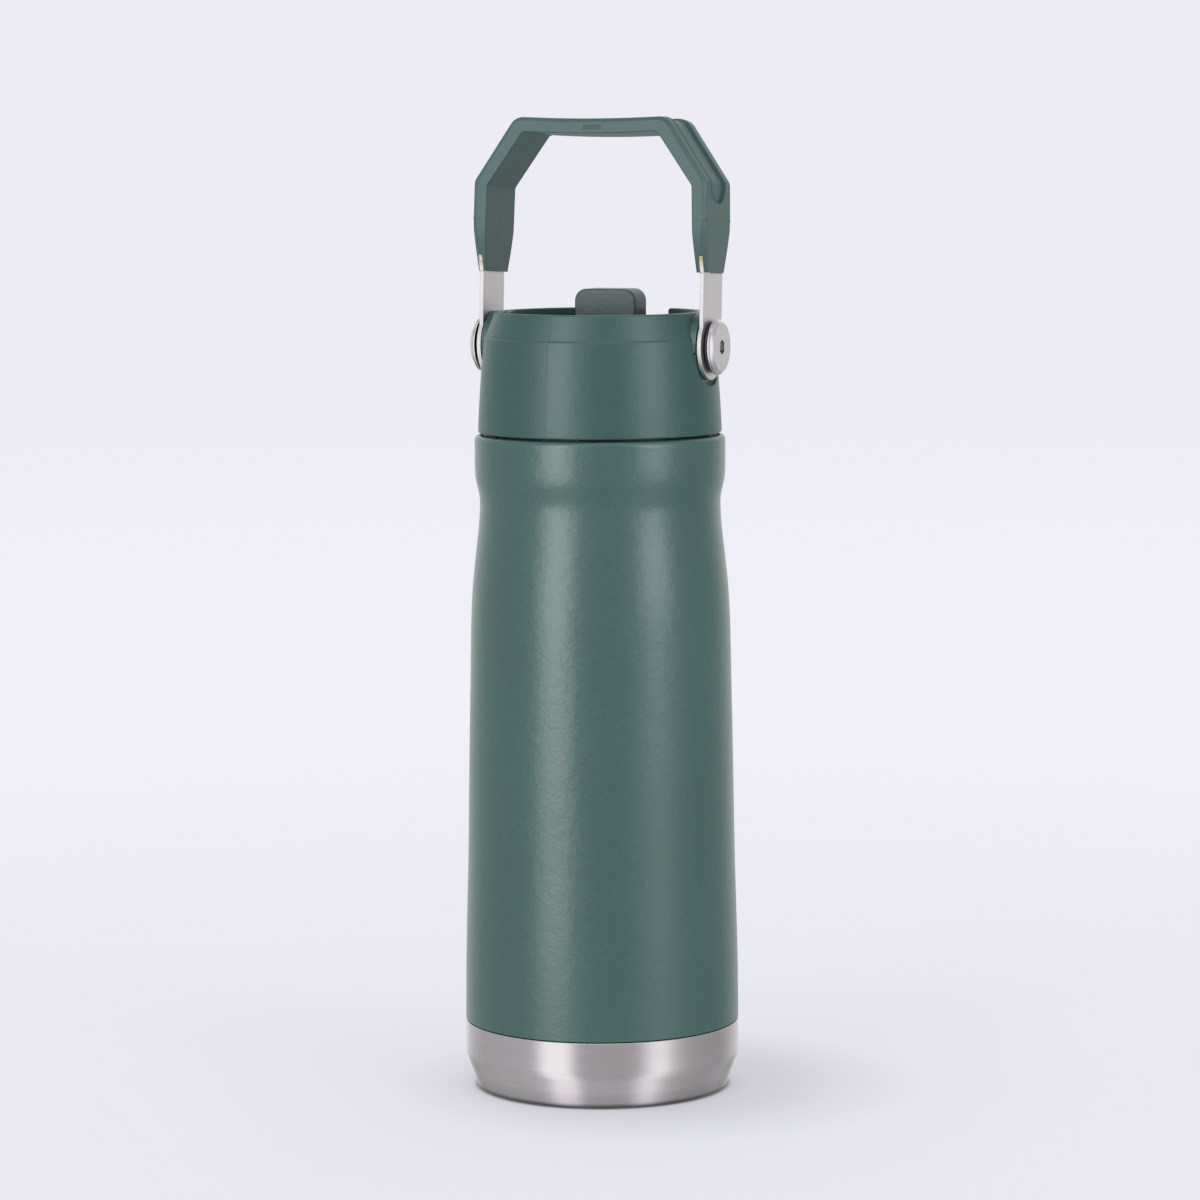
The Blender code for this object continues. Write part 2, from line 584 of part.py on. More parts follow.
def strap_outline():
    """Eye, shank and narrower tang of a strap, as (Y, Z) from the pivot."""
    meet = math.degrees(math.acos(STRAP_HALF / EYE_RADIUS))
    eye = arc((0, 0), EYE_RADIUS, 180 - meet, 360 + meet, 18)
    return eye + [(STRAP_HALF, TANG_START - 1.2), (TANG_HALF, TANG_START - 0.6),
                  (TANG_HALF, TANG_TOP - 1), (TANG_HALF - 1, TANG_TOP),
                  (1 - TANG_HALF, TANG_TOP), (-TANG_HALF, TANG_TOP - 1),
                  (-TANG_HALF, TANG_START - 0.6), (-STRAP_HALF, TANG_START - 1.2)]


def make_strap(side, handle):
    sign = 1 if side == "right" else -1
    low, high = sorted((sign * STRAP_FACE, sign * (STRAP_FACE + STRAP_THICK)))
    bm = prism(strap_outline(), low, high, "YZX")
    strap = as_object(side + "_strap", bm, "brushed_steel", handle)
    hole = [(0, STRAP_FACE - 1), (EYE_HOLE, STRAP_FACE - 1), (EYE_HOLE, STRAP_FACE + 3),
            (0, STRAP_FACE + 3)]
    combine(strap, "DIFFERENCE", side + "_eye_hole", turned(hole, 24), handle,
            turn=(0, SIDES[side], 0))


def rounded_path(points, radius, steps):
    """An open path whose inner corners are arcs of the given radius, tangent to both sides."""
    path = [points[0]]
    for before, corner, after in zip(points, points[1:], points[2:]):
        corner = Vector(corner)
        back = (Vector(before) - corner).normalized()
        on = (Vector(after) - corner).normalized()
        half = back.angle(on) / 2
        centre = corner + (back + on).normalized() * (radius / math.sin(half))
        first = corner + back * (radius / math.tan(half)) - centre
        last = corner + on * (radius / math.tan(half)) - centre
        for k in range(steps + 1):
            ray = first.slerp(last, k / steps).normalized()
            path.append(tuple(centre + ray * radius))
    return path + [points[-1]]


def grip_sections():
    """Matching inner and outer (X, Z) points with the grip's half depth, left to right."""
    outer = [(OUTER_FOOT, GRIP_FOOT), (OUTER_FULL, GRIP_FULL), (OUTER_CORNER, CORNER_HEIGHT),
             (OUTER_BAR, BAR_TOP), (0, BAR_TOP - BAR_SAG)]
    inner = [(INNER_FOOT, GRIP_FOOT), (INNER_FULL, GRIP_FULL),
             (INNER_CORNER, CORNER_HEIGHT - 1.2), (INNER_BAR, BAR_TOP - BAR_THICK),
             (0, BAR_TOP - BAR_THICK - BAR_SAG)]
    outer = outer[:1] + rounded_path(outer[1:], OUTER_ROUND, 3)
    inner = inner[:1] + rounded_path(inner[1:], INNER_ROUND, 3)
    depths = [FOOT_HALF_DEPTH] + [GRIP_HALF_DEPTH] * (len(outer) - 1)
    right = list(zip(inner, outer, depths))
    left = [((-i[0], i[1]), (-o[0], o[1]), depth) for i, o, depth in right]
    return left + list(reversed(right))[1:]


def make_grip(handle):
    bm = bmesh.new()
    rings = []
    for inner, outer, depth in grip_sections():
        start, end = Vector((inner[0], 0, inner[1])), Vector((outer[0], 0, outer[1]))
        out = (end - start).normalized()
        thick = (end - start).length
        shoulder = thick - OUTER_CHAMFER
        corners = [(0, INNER_CHAMFER - depth), (0, depth - INNER_CHAMFER),
                   (INNER_CHAMFER, depth), (shoulder, depth), (thick, depth - OUTER_CHAMFER),
                   (thick, OUTER_CHAMFER - depth), (shoulder, -depth), (INNER_CHAMFER, -depth)]
        rings.append([bm.verts.new((start + out * u + Vector((0, v, 0))) * MM)
                      for u, v in corners])
    for ring, following in zip(rings, rings[1:]):
        for k in range(8):
            after = (k + 1) % 8
            bm.faces.new([ring[k], ring[after], following[after], following[k]])
    bm.faces.new(rings[0])
    bm.faces.new(rings[-1])
    grip = as_object("handle_grip", bm, "green_plastic", handle)
    slot_in, slot_out = STRAP_FACE - 0.2, STRAP_FACE + STRAP_THICK + 0.2
    wide, narrow = 9.0, TANG_HALF + 0.25
    slot = [(-wide, GRIP_FOOT - 2), (wide, GRIP_FOOT - 2), (wide, TANG_START),
            (narrow, TANG_START), (narrow, TANG_TOP + 0.4), (-narrow, TANG_TOP + 0.4),
            (-narrow, TANG_START), (-wide, TANG_START)]
    for side, sign in (("left", -1), ("right", 1)):
        low, high = sorted((sign * slot_in, sign * slot_out))
        combine(grip, "DIFFERENCE", side + "_slot", prism(slot, low, high, "YZX"), handle)


def screw_outline():
    """Shoulder screw along its axis: thread end, shoulder, lipped head and chamfered face."""
    return [(0, 25.6), (1.6, 25.6), (2.0, 26.0), (2.0, 30.2), (SHOULDER_RADIUS, 30.2),
            (SHOULDER_RADIUS, HEAD_FACE), (HEAD_RADIUS - 0.2, HEAD_FACE),
            (HEAD_RADIUS, HEAD_FACE + 0.15), (HEAD_RADIUS, HEAD_FACE + 0.35),
            (HEAD_RADIUS - 0.35, HEAD_FACE + 0.45), (HEAD_RADIUS - 0.1, HEAD_FACE + 0.65),
            (HEAD_RADIUS - 0.1, HEAD_FACE + 0.85), (6.35, 34.35), (0, 34.35)]


def make_pivots(lid):
    """Screw, washer and threaded insert on each side of the lid."""
    hexagon = arc((0, 0), HEX_RADIUS, 0, 300, 5)
    ring = [(SHOULDER_RADIUS + 0.3, WASHER_FACE), (6.7, WASHER_FACE),
            (6.7, WASHER_FACE + WASHER_THICK), (SHOULDER_RADIUS + 0.3, WASHER_FACE + WASHER_THICK)]
    insert = [(2.3, 25.2), (3.9, 25.2), (3.9, 29.8), (2.3, 29.8)]
    at = (0, 0, PIVOT_HEIGHT)
    for side, turn in SIDES.items():
        place = {"at": at, "turn": (0, turn, 0)}
        screw = as_object(side + "_pivot_screw", turned(screw_outline(), SMALL), "screw_steel",
                          lid, **place)
        socket = prism(hexagon, 32.6, 36, "XYZ")
        combine(screw, "DIFFERENCE", side + "_socket", socket, lid, **place)
        as_object(side + "_washer", turned(ring, SMALL), "black_plastic", lid, **place)
        as_object(side + "_insert", turned(insert, SMALL), "brass", lid, **place)


def build():
    clear_scene()
    make_outer_shell()
    make_outer_base()
    make_liner()
    make_liner_bottom()
    make_vacuum_parts()
    lift = pivot("lid_lift", (0, 0, 0))
    lid = pivot("lid_turn", (0, 0, 0))
    lid.parent = lift
    make_gasket(lift)
    make_collar(lid)
    make_deck(lid)
    make_plug(lid)
    make_drinking_parts(lid)
    make_spout(lid)
    make_pivots(lid)
    handle = pivot("handle_swing", (0, 0, PIVOT_HEIGHT), (LEAN, 0, 0))
    handle.parent = lid
    for side in SIDES:
        make_strap(side, handle)
    make_grip(handle)
    bpy.context.view_layer.update()


build()
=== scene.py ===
"""Vacuum flask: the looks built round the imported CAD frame.

Shapes below are in millimetres in the CAD's frame, and MM turns them into metres.
"""

import json
import math

import bmesh
import bpy
from mathutils import Matrix, Vector


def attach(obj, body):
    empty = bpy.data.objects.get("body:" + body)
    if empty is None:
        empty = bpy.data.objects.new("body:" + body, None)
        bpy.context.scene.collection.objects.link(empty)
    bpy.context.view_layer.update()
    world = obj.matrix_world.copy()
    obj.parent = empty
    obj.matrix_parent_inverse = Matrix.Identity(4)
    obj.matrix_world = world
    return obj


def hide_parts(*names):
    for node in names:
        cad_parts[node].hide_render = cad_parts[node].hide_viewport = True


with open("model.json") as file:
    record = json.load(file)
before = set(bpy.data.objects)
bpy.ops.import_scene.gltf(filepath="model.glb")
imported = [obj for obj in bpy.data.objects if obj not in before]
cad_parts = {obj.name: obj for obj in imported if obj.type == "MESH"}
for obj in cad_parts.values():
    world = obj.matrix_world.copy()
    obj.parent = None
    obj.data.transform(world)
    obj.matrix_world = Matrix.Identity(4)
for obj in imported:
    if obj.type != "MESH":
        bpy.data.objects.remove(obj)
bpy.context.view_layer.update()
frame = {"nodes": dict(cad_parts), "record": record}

MM = 0.001
FINE = 160            # sides of the large turned pieces
MEDIUM = 96
JOINTS = {joint["name"]: joint for joint in frame["record"]["behaviour"]["joints"]}
PIVOT_HEIGHT = JOINTS["handle_swing"]["pos_m"][2] / MM
HINGE_Y = JOINTS["spout_flip"]["pos_m"][1] / MM
HINGE_Z = JOINTS["spout_flip"]["pos_m"][2] / MM
SIDES = {"left": -90, "right": 90}    # turn about Y that sends local +Z outwards along X

# Camera
CAMERA_TURN = math.radians(21.5)      # about Z, from the flask's front towards +X
CAMERA_PITCH = math.radians(6.045)
CAMERA_ROLL = math.radians(-0.232)
CAMERA_YAW = math.radians(-0.008)
CAMERA_DISTANCE = 1.17275
CAMERA_HEIGHT = 0.25403
CAMERA_LENS = 133.502
SENSOR = 36.0

# Body, as in the CAD
BASE_RADIUS = 36.4
SHELL_TOP = 173.95
SHELL_WALL = 0.6
LIP_ROUND = 1.5
BAND_RADIUS = 33.1
PAINT_EDGE = 18.0
SIDE = [(18, 36.4), (36, 36.2), (62, 35.5), (88, 35.05), (110, 34.62), (125, 34.3),
        (133.5, 33.85), (141.5, 33.05), (149.5, 32.15), (155, 31.8), (157.5, 31.85),
        (160, 32.35), (162.5, 32.9), (166, 33.1)]

# Lid, as in the CAD
COLLAR_BOTTOM = 174.55
RIM_TOP = 206.3
NOTCH_HALF = 10.5
DECK_TOP = 199.0
DECK_BOTTOM = 186.0
DECK_RADIUS = 27.8
BOSS_RADIUS = 8.8
BOSS_FACE = 30.1
BOSS_INNER = 24.4
SPOT_RADIUS = 10.2
STRAP_FACE = 30.4
STRAP_THICK = 1.15
LEAN = -3.0


# ---------------------------------------------------------------- shapes

def arc(centre, radius, start, end, steps):
    angles = [math.radians(start + (end - start) * k / steps) for k in range(steps + 1)]
    return [(centre[0] + radius * math.cos(a), centre[1] + radius * math.sin(a))
            for a in angles]


def softened(points, steps=4):
    """A closed outline of (u, v) or (u, v, radius) points, with the given corners rounded."""
    made = []
    count = len(points)
    for k, point in enumerate(points):
        corner = Vector(point[:2])
        radius = point[2] if len(point) > 2 else 0
        if not radius:
            made.append(tuple(corner))
            continue
        back = (Vector(points[k - 1][:2]) - corner)
        on = (Vector(points[(k + 1) % count][:2]) - corner)
        half = back.angle(on) / 2
        reach = min(radius / math.tan(half), back.length * 0.49, on.length * 0.49)
        radius = reach * math.tan(half)
        back.normalize()
        on.normalize()
        centre = corner + (back + on).normalized() * (radius / math.sin(half))
        first = corner + back * reach - centre
        last = corner + on * reach - centre
        for step in range(steps + 1):
            ray = first.slerp(last, step / steps).normalized()
            made.append(tuple(centre + ray * radius))
    return made


def smooth_line(points, steps):
    """A Catmull-Rom curve through the points, both ends included."""
    made = []
    last = len(points) - 1
    for k in range(last):
        p0, p1 = Vector(points[max(k - 1, 0)]), Vector(points[k])
        p2, p3 = Vector(points[k + 1]), Vector(points[min(k + 2, last)])
        for step in range(steps):
            t = step / steps
            made.append(tuple(0.5 * ((2 * p1) + (p2 - p0) * t
                                     + (2 * p0 - 5 * p1 + 4 * p2 - p3) * t * t
                                     + (3 * p1 - p0 - 3 * p2 + p3) * t ** 3)))
    return made + [tuple(points[-1])]


def side_radius(height):
    heights = [point[0] for point in SIDE]
    radii = [point[1] for point in SIDE]
    if height >= heights[-1]:
        return BAND_RADIUS
    last = len(SIDE) - 1
    k = max(i for i in range(last) if i == 0 or heights[i] <= height)

    def slope(i):
        low, high = max(i - 1, 0), min(i + 1, last)
        return (radii[high] - radii[low]) / (heights[high] - heights[low])

    span = heights[k + 1] - heights[k]
    t = (height - heights[k]) / span
    rise = t * t * (3 - 2 * t)
    start = t * (1 - t) ** 2 * span * slope(k)
    end = t * t * (t - 1) * span * slope(k + 1)
    return radii[k] + rise * (radii[k + 1] - radii[k]) + start + end


def turned(outline, angles=FINE):
    """Turns a closed outline of (radius, height) about Z; angles is a count or a list."""
    if isinstance(angles, int):
        angles = [360 * k / angles for k in range(angles)]
    rays = [(math.cos(math.radians(a)), math.sin(math.radians(a))) for a in angles]
    sides = len(rays)
    bm = bmesh.new()
    rings = []
    for radius, height in outline:
        if radius == 0:
            rings.append([bm.verts.new((0, 0, height * MM))] * sides)
        else:
            rings.append([bm.verts.new((radius * x * MM, radius * y * MM, height * MM))
                          for x, y in rays])
    for ring, following in zip(rings, rings[1:] + rings[:1]):
        for k in range(sides):
            after = (k + 1) % sides
            corners = list(dict.fromkeys([ring[k], ring[after], following[after], following[k]]))
            if len(corners) > 2:
                bm.faces.new(corners)
    return bm


def prism(outline, low, high, axes):
    order = ["XYZ".index(letter) for letter in axes]
    bm = bmesh.new()
    layers = []
    for level in (low, high):
        layer = []
        for u, v in outline:
            place = [0.0, 0.0, 0.0]
            for index, value in zip(order, (u, v, level)):
                place[index] = value * MM
            layer.append(bm.verts.new(place))
        layers.append(layer)
    first, second = layers
    bm.faces.new(first)
    bm.faces.new(list(reversed(second)))
    for k in range(len(outline)):
        after = (k + 1) % len(outline)
        bm.faces.new([first[after], first[k], second[k], second[after]])
    return bm


def swept_tube(path, radius, sides):
    bm = bmesh.new()
    points = [Vector((0, y, z)) for y, z in path]
    rings = []
    for k, point in enumerate(points):
        ahead = points[min(k + 1, len(points) - 1)] - points[max(k - 1, 0)]
        across = ahead.normalized().cross(Vector((1, 0, 0)))
        circle = arc((0, 0), radius, 0, 360 - 360 / sides, sides - 1)
        rings.append([bm.verts.new((point + Vector((u, 0, 0)) + across * v) * MM)
                      for u, v in circle])
    for ring, following in zip(rings, rings[1:]):
        for k in range(sides):
            after = (k + 1) % sides
            bm.faces.new([ring[k], ring[after], following[after], following[k]])
    bm.faces.new(rings[0])
    bm.faces.new(rings[-1])
    return bm


def place(at=(0, 0, 0), turn=(0, 0, 0)):
    """The matrix of a move in millimetres after turns about X, Y and Z in degrees."""
    made = Matrix.Translation(Vector(at) * MM)
    for axis, angle in zip("ZYX", reversed(turn)):
        made = made @ Matrix.Rotation(math.radians(angle), 4, axis)
    return made


def solid(name, bm, where=None):
    """Links bm as an object whose mesh holds its place."""
    bmesh.ops.recalc_face_normals(bm, faces=bm.faces)
    mesh = bpy.data.meshes.new(name)
    bm.to_mesh(mesh)
    bm.free()
    if where:
        mesh.transform(where)
    made = bpy.data.objects.new(name, mesh)
    bpy.context.scene.collection.objects.link(made)
    return made


def bake(target):
    """Replaces the mesh by what its modifiers make of it."""
    bpy.context.view_layer.update()
    graph = bpy.context.evaluated_depsgraph_get()
    made = bpy.data.meshes.new_from_object(target.evaluated_get(graph))
    target.modifiers.clear()
    target.data = made


def combine(target, operation, bm, where=None):
    tool = solid("tool", bm, where)
    step = target.modifiers.new("step", "BOOLEAN")
    step.operation = operation
    step.object = tool
    step.solver = "EXACT"
    bake(target)
    bpy.data.objects.remove(tool)


def rounded(target, width, segments=2, angle=32):
    step = target.modifiers.new("round", "BEVEL")
    step.width = width * MM
    step.segments = segments
    step.limit_method = "ANGLE"
    step.angle_limit = math.radians(angle)
    step.profile = 0.5
    step.use_clamp_overlap = True
    step.miter_outer = "MITER_ARC"
    step.harden_normals = False
    bake(target)


def cleaned(target, distance=0.002):
    bm = bmesh.new()
    bm.from_mesh(target.data)
    bmesh.ops.remove_doubles(bm, verts=bm.verts, dist=distance * MM)
    bmesh.ops.dissolve_degenerate(bm, edges=bm.edges, dist=distance * MM * 0.5)
    bm.to_mesh(target.data)
    bm.free()


def piece(made, look, body, slot, *nodes, sharp=30):
    """Finishes a piece: shading, material, the body it rides on and the nodes it stands for."""
    mesh = made.data
    mesh.shade_smooth()
    mesh.set_sharp_from_angle(angle=math.radians(sharp))
    normals = made.modifiers.new("normals", "WEIGHTED_NORMAL")
    normals.keep_sharp = True
    mesh.materials.clear()
    mesh.materials.append(look)
    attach(made, body)
    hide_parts(*nodes)
    return made


# ---------------------------------------------------------------- materials

class Tree:
    """A node tree with short ways to add nodes."""

    def __init__(self, tree):
        self.tree = tree

    def add(self, kind, settings=None, **inputs):
        made = self.tree.nodes.new(kind)
        for name, value in (settings or {}).items():
            setattr(made, name, value)
        for name, value in inputs.items():
            self.feed(made.inputs[name.replace("_", " ")], value)
        return made

    def feed(self, socket, value):
        if isinstance(value, bpy.types.NodeSocket):
            self.tree.links.new(value, socket)
        else:
            socket.default_value = value

    def math(self, operation, *values):
        made = self.tree.nodes.new("ShaderNodeMath")
        made.operation = operation
        for socket, value in zip(made.inputs, values):
            self.feed(socket, value)
        return made.outputs[0]

    def ramp(self, value, stops):
        made = self.tree.nodes.new("ShaderNodeValToRGB")
        ramp = made.color_ramp
        while len(ramp.elements) < len(stops):
            ramp.elements.new(0.5)
        for element, (position, colour) in zip(ramp.elements, stops):
            element.position = position
            element.color = (*colour, 1.0)
        self.feed(made.inputs["Fac"], value)
        return made.outputs["Color"]

    def span(self, value, low, high, start, end):
        """value from low..high mapped onto start..end, held at both ends."""
        made = self.add("ShaderNodeMapRange", {"clamp": True}, Value=value)
        for name, number in (("From Min", low), ("From Max", high),
                             ("To Min", start), ("To Max", end)):
            made.inputs[name].default_value = number
        return made.outputs["Result"]

    def noise(self, vector, scale, detail=2.0, roughness=0.5):
        """Noise whose scale is one number, or three for stretched grain."""
        if not isinstance(scale, (int, float)):
            vector = self.add("ShaderNodeMapping", Vector=vector, Scale=scale).outputs[0]
            scale = 1.0
        made = self.add("ShaderNodeTexNoise", Vector=vector, Scale=scale, Detail=detail,
                        Roughness=roughness)
        return made.outputs["Fac"]

    def mix(self, factor, first, second):
        made = self.tree.nodes.new("ShaderNodeMix")
        made.data_type = "RGBA"
        for socket, value in ((made.inputs[0], factor), (made.inputs[6], first),
                              (made.inputs[7], second)):
            if isinstance(value, tuple):
                value = (*value, 1.0)
            self.feed(socket, value)
        return made.outputs[2]

    def bump(self, height, distance, strength=1.0, before=None):
        made = self.add("ShaderNodeBump", Height=height, Distance=distance * MM,
                        Strength=strength)
        if before:
            self.feed(made.inputs["Normal"], before)
        return made.outputs["Normal"]


def new_look(name, roughness, metallic=0.0, **constants):
    made = bpy.data.materials.new(name)
    made.use_nodes = True
    tree = Tree(made.node_tree)
    shader = made.node_tree.nodes["Principled BSDF"]
    shader.inputs["Roughness"].default_value = roughness
    shader.inputs["Metallic"].default_value = metallic
    for key, value in constants.items():
        shader.inputs[key.replace("_", " ")].default_value = value
    coords = tree.add("ShaderNodeTexCoord").outputs["Object"]
    return made, tree, shader, coords


def tone(colour, factor):
    return tuple(min(1.0, c * factor) for c in colour)


def moulded(name, colour, roughness, grain, depth, spread=0.05, **constants):
    """A coated or moulded surface: broad shade drift, fine grain and uneven gloss."""
    made, tree, shader, coords = new_look(name, roughness, **constants)
    drift = tree.noise(coords, 22.0, 3.0)
    fine = tree.noise(coords, grain, 2.0, 0.6)
    wide = tree.mix(tree.span(drift, 0.3, 0.7, 0.0, 1.0), tone(colour, 1 - spread),
                    tone(colour, 1 + spread))
    speck = tree.mix(tree.span(fine, 0.35, 0.7, 0.0, 0.26), wide, tone(colour, 1.5))
    tree.feed(shader.inputs["Base Color"], speck)
    gloss = tree.math("ADD", tree.span(drift, 0.3, 0.7, -0.025, 0.025),
                      tree.span(fine, 0.3, 0.7, roughness - 0.03, roughness + 0.03))
    tree.feed(shader.inputs["Roughness"], gloss)
    wave = tree.noise(coords, grain * 0.31, 1.0)
    normal = tree.bump(fine, depth)
    normal = tree.bump(wave, depth * 1.6, before=normal)
    tree.feed(shader.inputs["Normal"], normal)
    return made


def brushed(name, colour, roughness, grain, depth, tint_and_shade=None, contrast=0.08, polished=None,
            **constants):
    """Steel with grain: grain is the noise scale along X, Y and Z."""
    made, tree, shader, coords = new_look(name, roughness, 1.0, **constants)
    lines = tree.noise(coords, grain, 3.0, 0.6)
    broad = tree.noise(coords, tuple(g * 0.12 for g in grain), 2.0)
    smear = tree.noise(coords, 30.0, 3.0)
    shade = tree.mix(tree.span(lines, 0.3, 0.7, 0.0, 1.0), tone(colour, 1 - contrast),
                     tone(colour, 1 + contrast))
    shade = tree.mix(tree.span(broad, 0.35, 0.7, 0.0, 0.25), shade, tone(colour, 0.86))
    # This step recolours the steel: a brassy adhesive tint on the straps, painted shade at the
    # foot.
    if tint_and_shade:
        shade = tint_and_shade(tree, coords, shade)
    tree.feed(shader.inputs["Base Color"], shade)
    gloss = tree.math("ADD", tree.span(lines, 0.3, 0.7, roughness - 0.05, roughness + 0.05),
                      tree.span(smear, 0.35, 0.65, -0.03, 0.03))
    if polished:          # mirror finish up to this distance from the flask's axis along X
        split = tree.add("ShaderNodeSeparateXYZ", Vector=coords)
        aside = tree.math("ABSOLUTE", split.outputs["X"])
        gloss = tree.math("MULTIPLY", gloss, tree.span(aside, polished, polished + 4e-5, 0.35, 1.0))
    tree.feed(shader.inputs["Roughness"], gloss)
    tree.feed(shader.inputs["Normal"], tree.bump(lines, depth))
    return made


def adhesive_tint(tree, coords, shade):
    """A little brassy adhesive where the strap enters the grip."""
    split = tree.add("ShaderNodeSeparateXYZ", Vector=coords)
    high = tree.span(split.outputs["Z"], 0.2178, 0.2196, 0.0, 0.8)
    patch = tree.span(tree.noise(coords, 900.0, 2.0), 0.4, 0.6, 0.2, 1.0)
    return tree.mix(tree.math("MULTIPLY", high, patch), shade, (0.42, 0.33, 0.13))


def foot_shade_and_warm_tint(tree, coords, shade):
    """Painted shade: a dark rim where the foot meets the table stands in for its contact shadow,
    over a faint warm tint in random patches.
    """
    split = tree.add("ShaderNodeSeparateXYZ", Vector=coords)
    # Painted shade mask: darkest below 0.4 mm, mostly gone by 1.4 mm and fully gone 5 mm up the
    # foot.
    low = tree.math("ADD", tree.span(split.outputs["Z"], 0.0004, 0.0014, 0.65, 0.0),
                    tree.span(split.outputs["Z"], 0.0012, 0.0050, 0.28, 0.0))
    warm = tree.noise(coords, (60.0, 60.0, 12.0), 1.0)
    shade = tree.mix(tree.span(warm, 0.5, 0.7, 0.0, 0.22), shade, (0.56, 0.47, 0.47))
    # The painted shade's near-black colour, laid over the foot by that mask.
    return tree.mix(low, shade, (0.05, 0.045, 0.05))


PAINT = moulded("green_powder_coat", (0.040, 0.113, 0.099), 0.32, 1150.0, 0.035,
                Specular_IOR_Level=0.62)
LID_PLASTIC = moulded("green_lid_plastic", (0.025, 0.092, 0.082), 0.41, 1300.0, 0.030,
                      Specular_IOR_Level=0.5)
GRIP_PLASTIC = moulded("green_grip_plastic", (0.035, 0.096, 0.087), 0.44, 1300.0, 0.022, 0.13,
                       Specular_IOR_Level=0.42)
SPOUT_PLASTIC = moulded("spout_plastic", (0.036, 0.080, 0.073), 0.38, 1300.0, 0.030, 0.22,
                        Specular_IOR_Level=0.5)
# The base steel's foot gets painted shade: a dark rim standing in for the contact shadow.
RING_STEEL = brushed("brushed_base_steel", (0.575, 0.55, 0.568), 0.23, (60.0, 60.0, 5200.0),
                     0.0012, tint_and_shade=foot_shade_and_warm_tint, contrast=0.035, Anisotropic=0.75,
                     Anisotropic_Rotation=0.25)
STRAP_STEEL = brushed("brushed_strap_steel", (0.75, 0.72, 0.735), 0.42, (700.0, 3800.0, 45.0),
                      0.0012, tint_and_shade=adhesive_tint, contrast=0.025)
SCREW_STEEL = brushed("turned_screw_steel", (0.66, 0.635, 0.655), 0.30, (2600.0, 900.0, 900.0),
                      0.0004, contrast=0.015, polished=0.0342)
LINER_STEEL = brushed("liner_steel", (0.6, 0.59, 0.58), 0.22, (40.0, 40.0, 2600.0), 0.002)
BLACK_PLASTIC = moulded("black_washer_plastic", (0.014, 0.015, 0.016), 0.42, 2400.0, 0.005)
BRASS = brushed("turned_brass", (0.62, 0.45, 0.18), 0.32, (2400.0, 600.0, 600.0), 0.002)
SILICONE = moulded("white_silicone", (0.62, 0.65, 0.64), 0.5, 1500.0, 0.006, 0.03,
                   Subsurface_Weight=0.15, Subsurface_Scale=0.002)
STRAW = moulded("straw_plastic", (0.72, 0.77, 0.77), 0.3, 1900.0, 0.002, 0.02,
                Subsurface_Weight=0.2, Subsurface_Scale=0.002)
FOIL = brushed("bright_foil", (0.75, 0.73, 0.7), 0.25, (500.0, 500.0, 300.0), 0.02)
GETTER = moulded("sintered_getter", (0.3, 0.29, 0.28), 0.6, 3200.0, 0.02, Metallic=0.8)
SOLDER = moulded("glass_solder", (0.22, 0.21, 0.19), 0.18, 900.0, 0.004)

for name, look in {"base_disc": RING_STEEL, "evacuation_seal": SOLDER,
                   "inner_liner": LINER_STEEL, "inner_bottom": LINER_STEEL,
                   "radiation_foil": FOIL, "getter": GETTER, "lid_gasket": SILICONE,
                   "port_seal": SILICONE, "straw_connector": SILICONE, "straw": STRAW,
                   "vent_valve": SILICONE, "left_spout_pin": SCREW_STEEL,
                   "right_spout_pin": SCREW_STEEL, "left_insert": BRASS,
                   "right_insert": BRASS, "thread_plug": LID_PLASTIC}.items():
    frame["nodes"][name].material_slots[0].material = look


# ---------------------------------------------------------------- bottle

def make_shell():
    top = SHELL_TOP - LIP_ROUND
    low = PAINT_EDGE + 0.15
    outer = arc((BAND_RADIUS - LIP_ROUND, top), LIP_ROUND, 90, 0, 10)
    rows = 104
    heights = [top - 0.4 - (top - 0.4 - low - 0.12) * k / rows for k in range(rows + 1)]
    outer += [(side_radius(h), h) for h in heights]
    outer += [(side_radius(low) - 0.08, low)]
    inner = [(side_radius(h) - SHELL_WALL, h) for h in [low] + heights[::-3]]
    neck = BAND_RADIUS - SHELL_WALL
    inner += [(neck, top), (neck - 0.9, SHELL_TOP - SHELL_WALL)]
    inner += [(31.3, SHELL_TOP - SHELL_WALL), (31.3, SHELL_TOP)]
    made = solid("shell_body", turned(outer + inner))
    piece(made, PAINT, "bottle", "green_paint", "outer_shell")


def make_base():
    inside = BASE_RADIUS - SHELL_WALL
    top = PAINT_EDGE - 0.15
    outline = [(BASE_RADIUS - 0.12, top), (BASE_RADIUS, top - 0.12), (BASE_RADIUS, 15.0),
               (BASE_RADIUS, 12.5)]
    outline += arc((BASE_RADIUS - 8.0, 10.32), 8.0, 0, -20, 12)
    outline += arc((32.6, 0.8), 0.8, -20, -90, 7)
    outline += [(27.9, 0), (27.6, 0.08), (27.0, 0.5), (26.9, 0.7), (26.9, 3.4), (1.0, 3.4)]
    outline += [(1.0, 4.0), (27.5, 4.0), (28.1, 0.6), (32.3, 0.6), (33.0, 1.4)]
    outline += [(inside - 0.15, 8.9), (inside, 9.6), (inside, top)]
    made = solid("base_cup", turned(outline))
    piece(made, RING_STEEL, "bottle", "brushed_steel", "outer_base")


# ---------------------------------------------------------------- lid

def collar_outline():
    outer = softened([(26.6, RIM_TOP), (27.6, RIM_TOP, 0.8), (30.1, 199.72, 0.5),
                      (30.5, 199.22, 0.4), (30.52, 198.6)], 6)[1:-1]
    outer += smooth_line([(30.53, 198.55), (31.3, 189.5), (31.85, 181.6), (32.1, 176.6),
                          (32.14, COLLAR_BOTTOM + 0.35)], 8)
    outer += [(32.05, COLLAR_BOTTOM + 0.12), (31.85, COLLAR_BOTTOM)]
    inner = [(30.1, COLLAR_BOTTOM), (30.0, 181), (29.4, 189.5), (28.6, 197.6), (28.2, 199.4)]
    inner += softened([(26.3, 203.6), (25.8, 204.6, 0.8), (25.8, RIM_TOP, 0.4), (26.6, RIM_TOP)],
                      4)[1:]
    return outer + inner


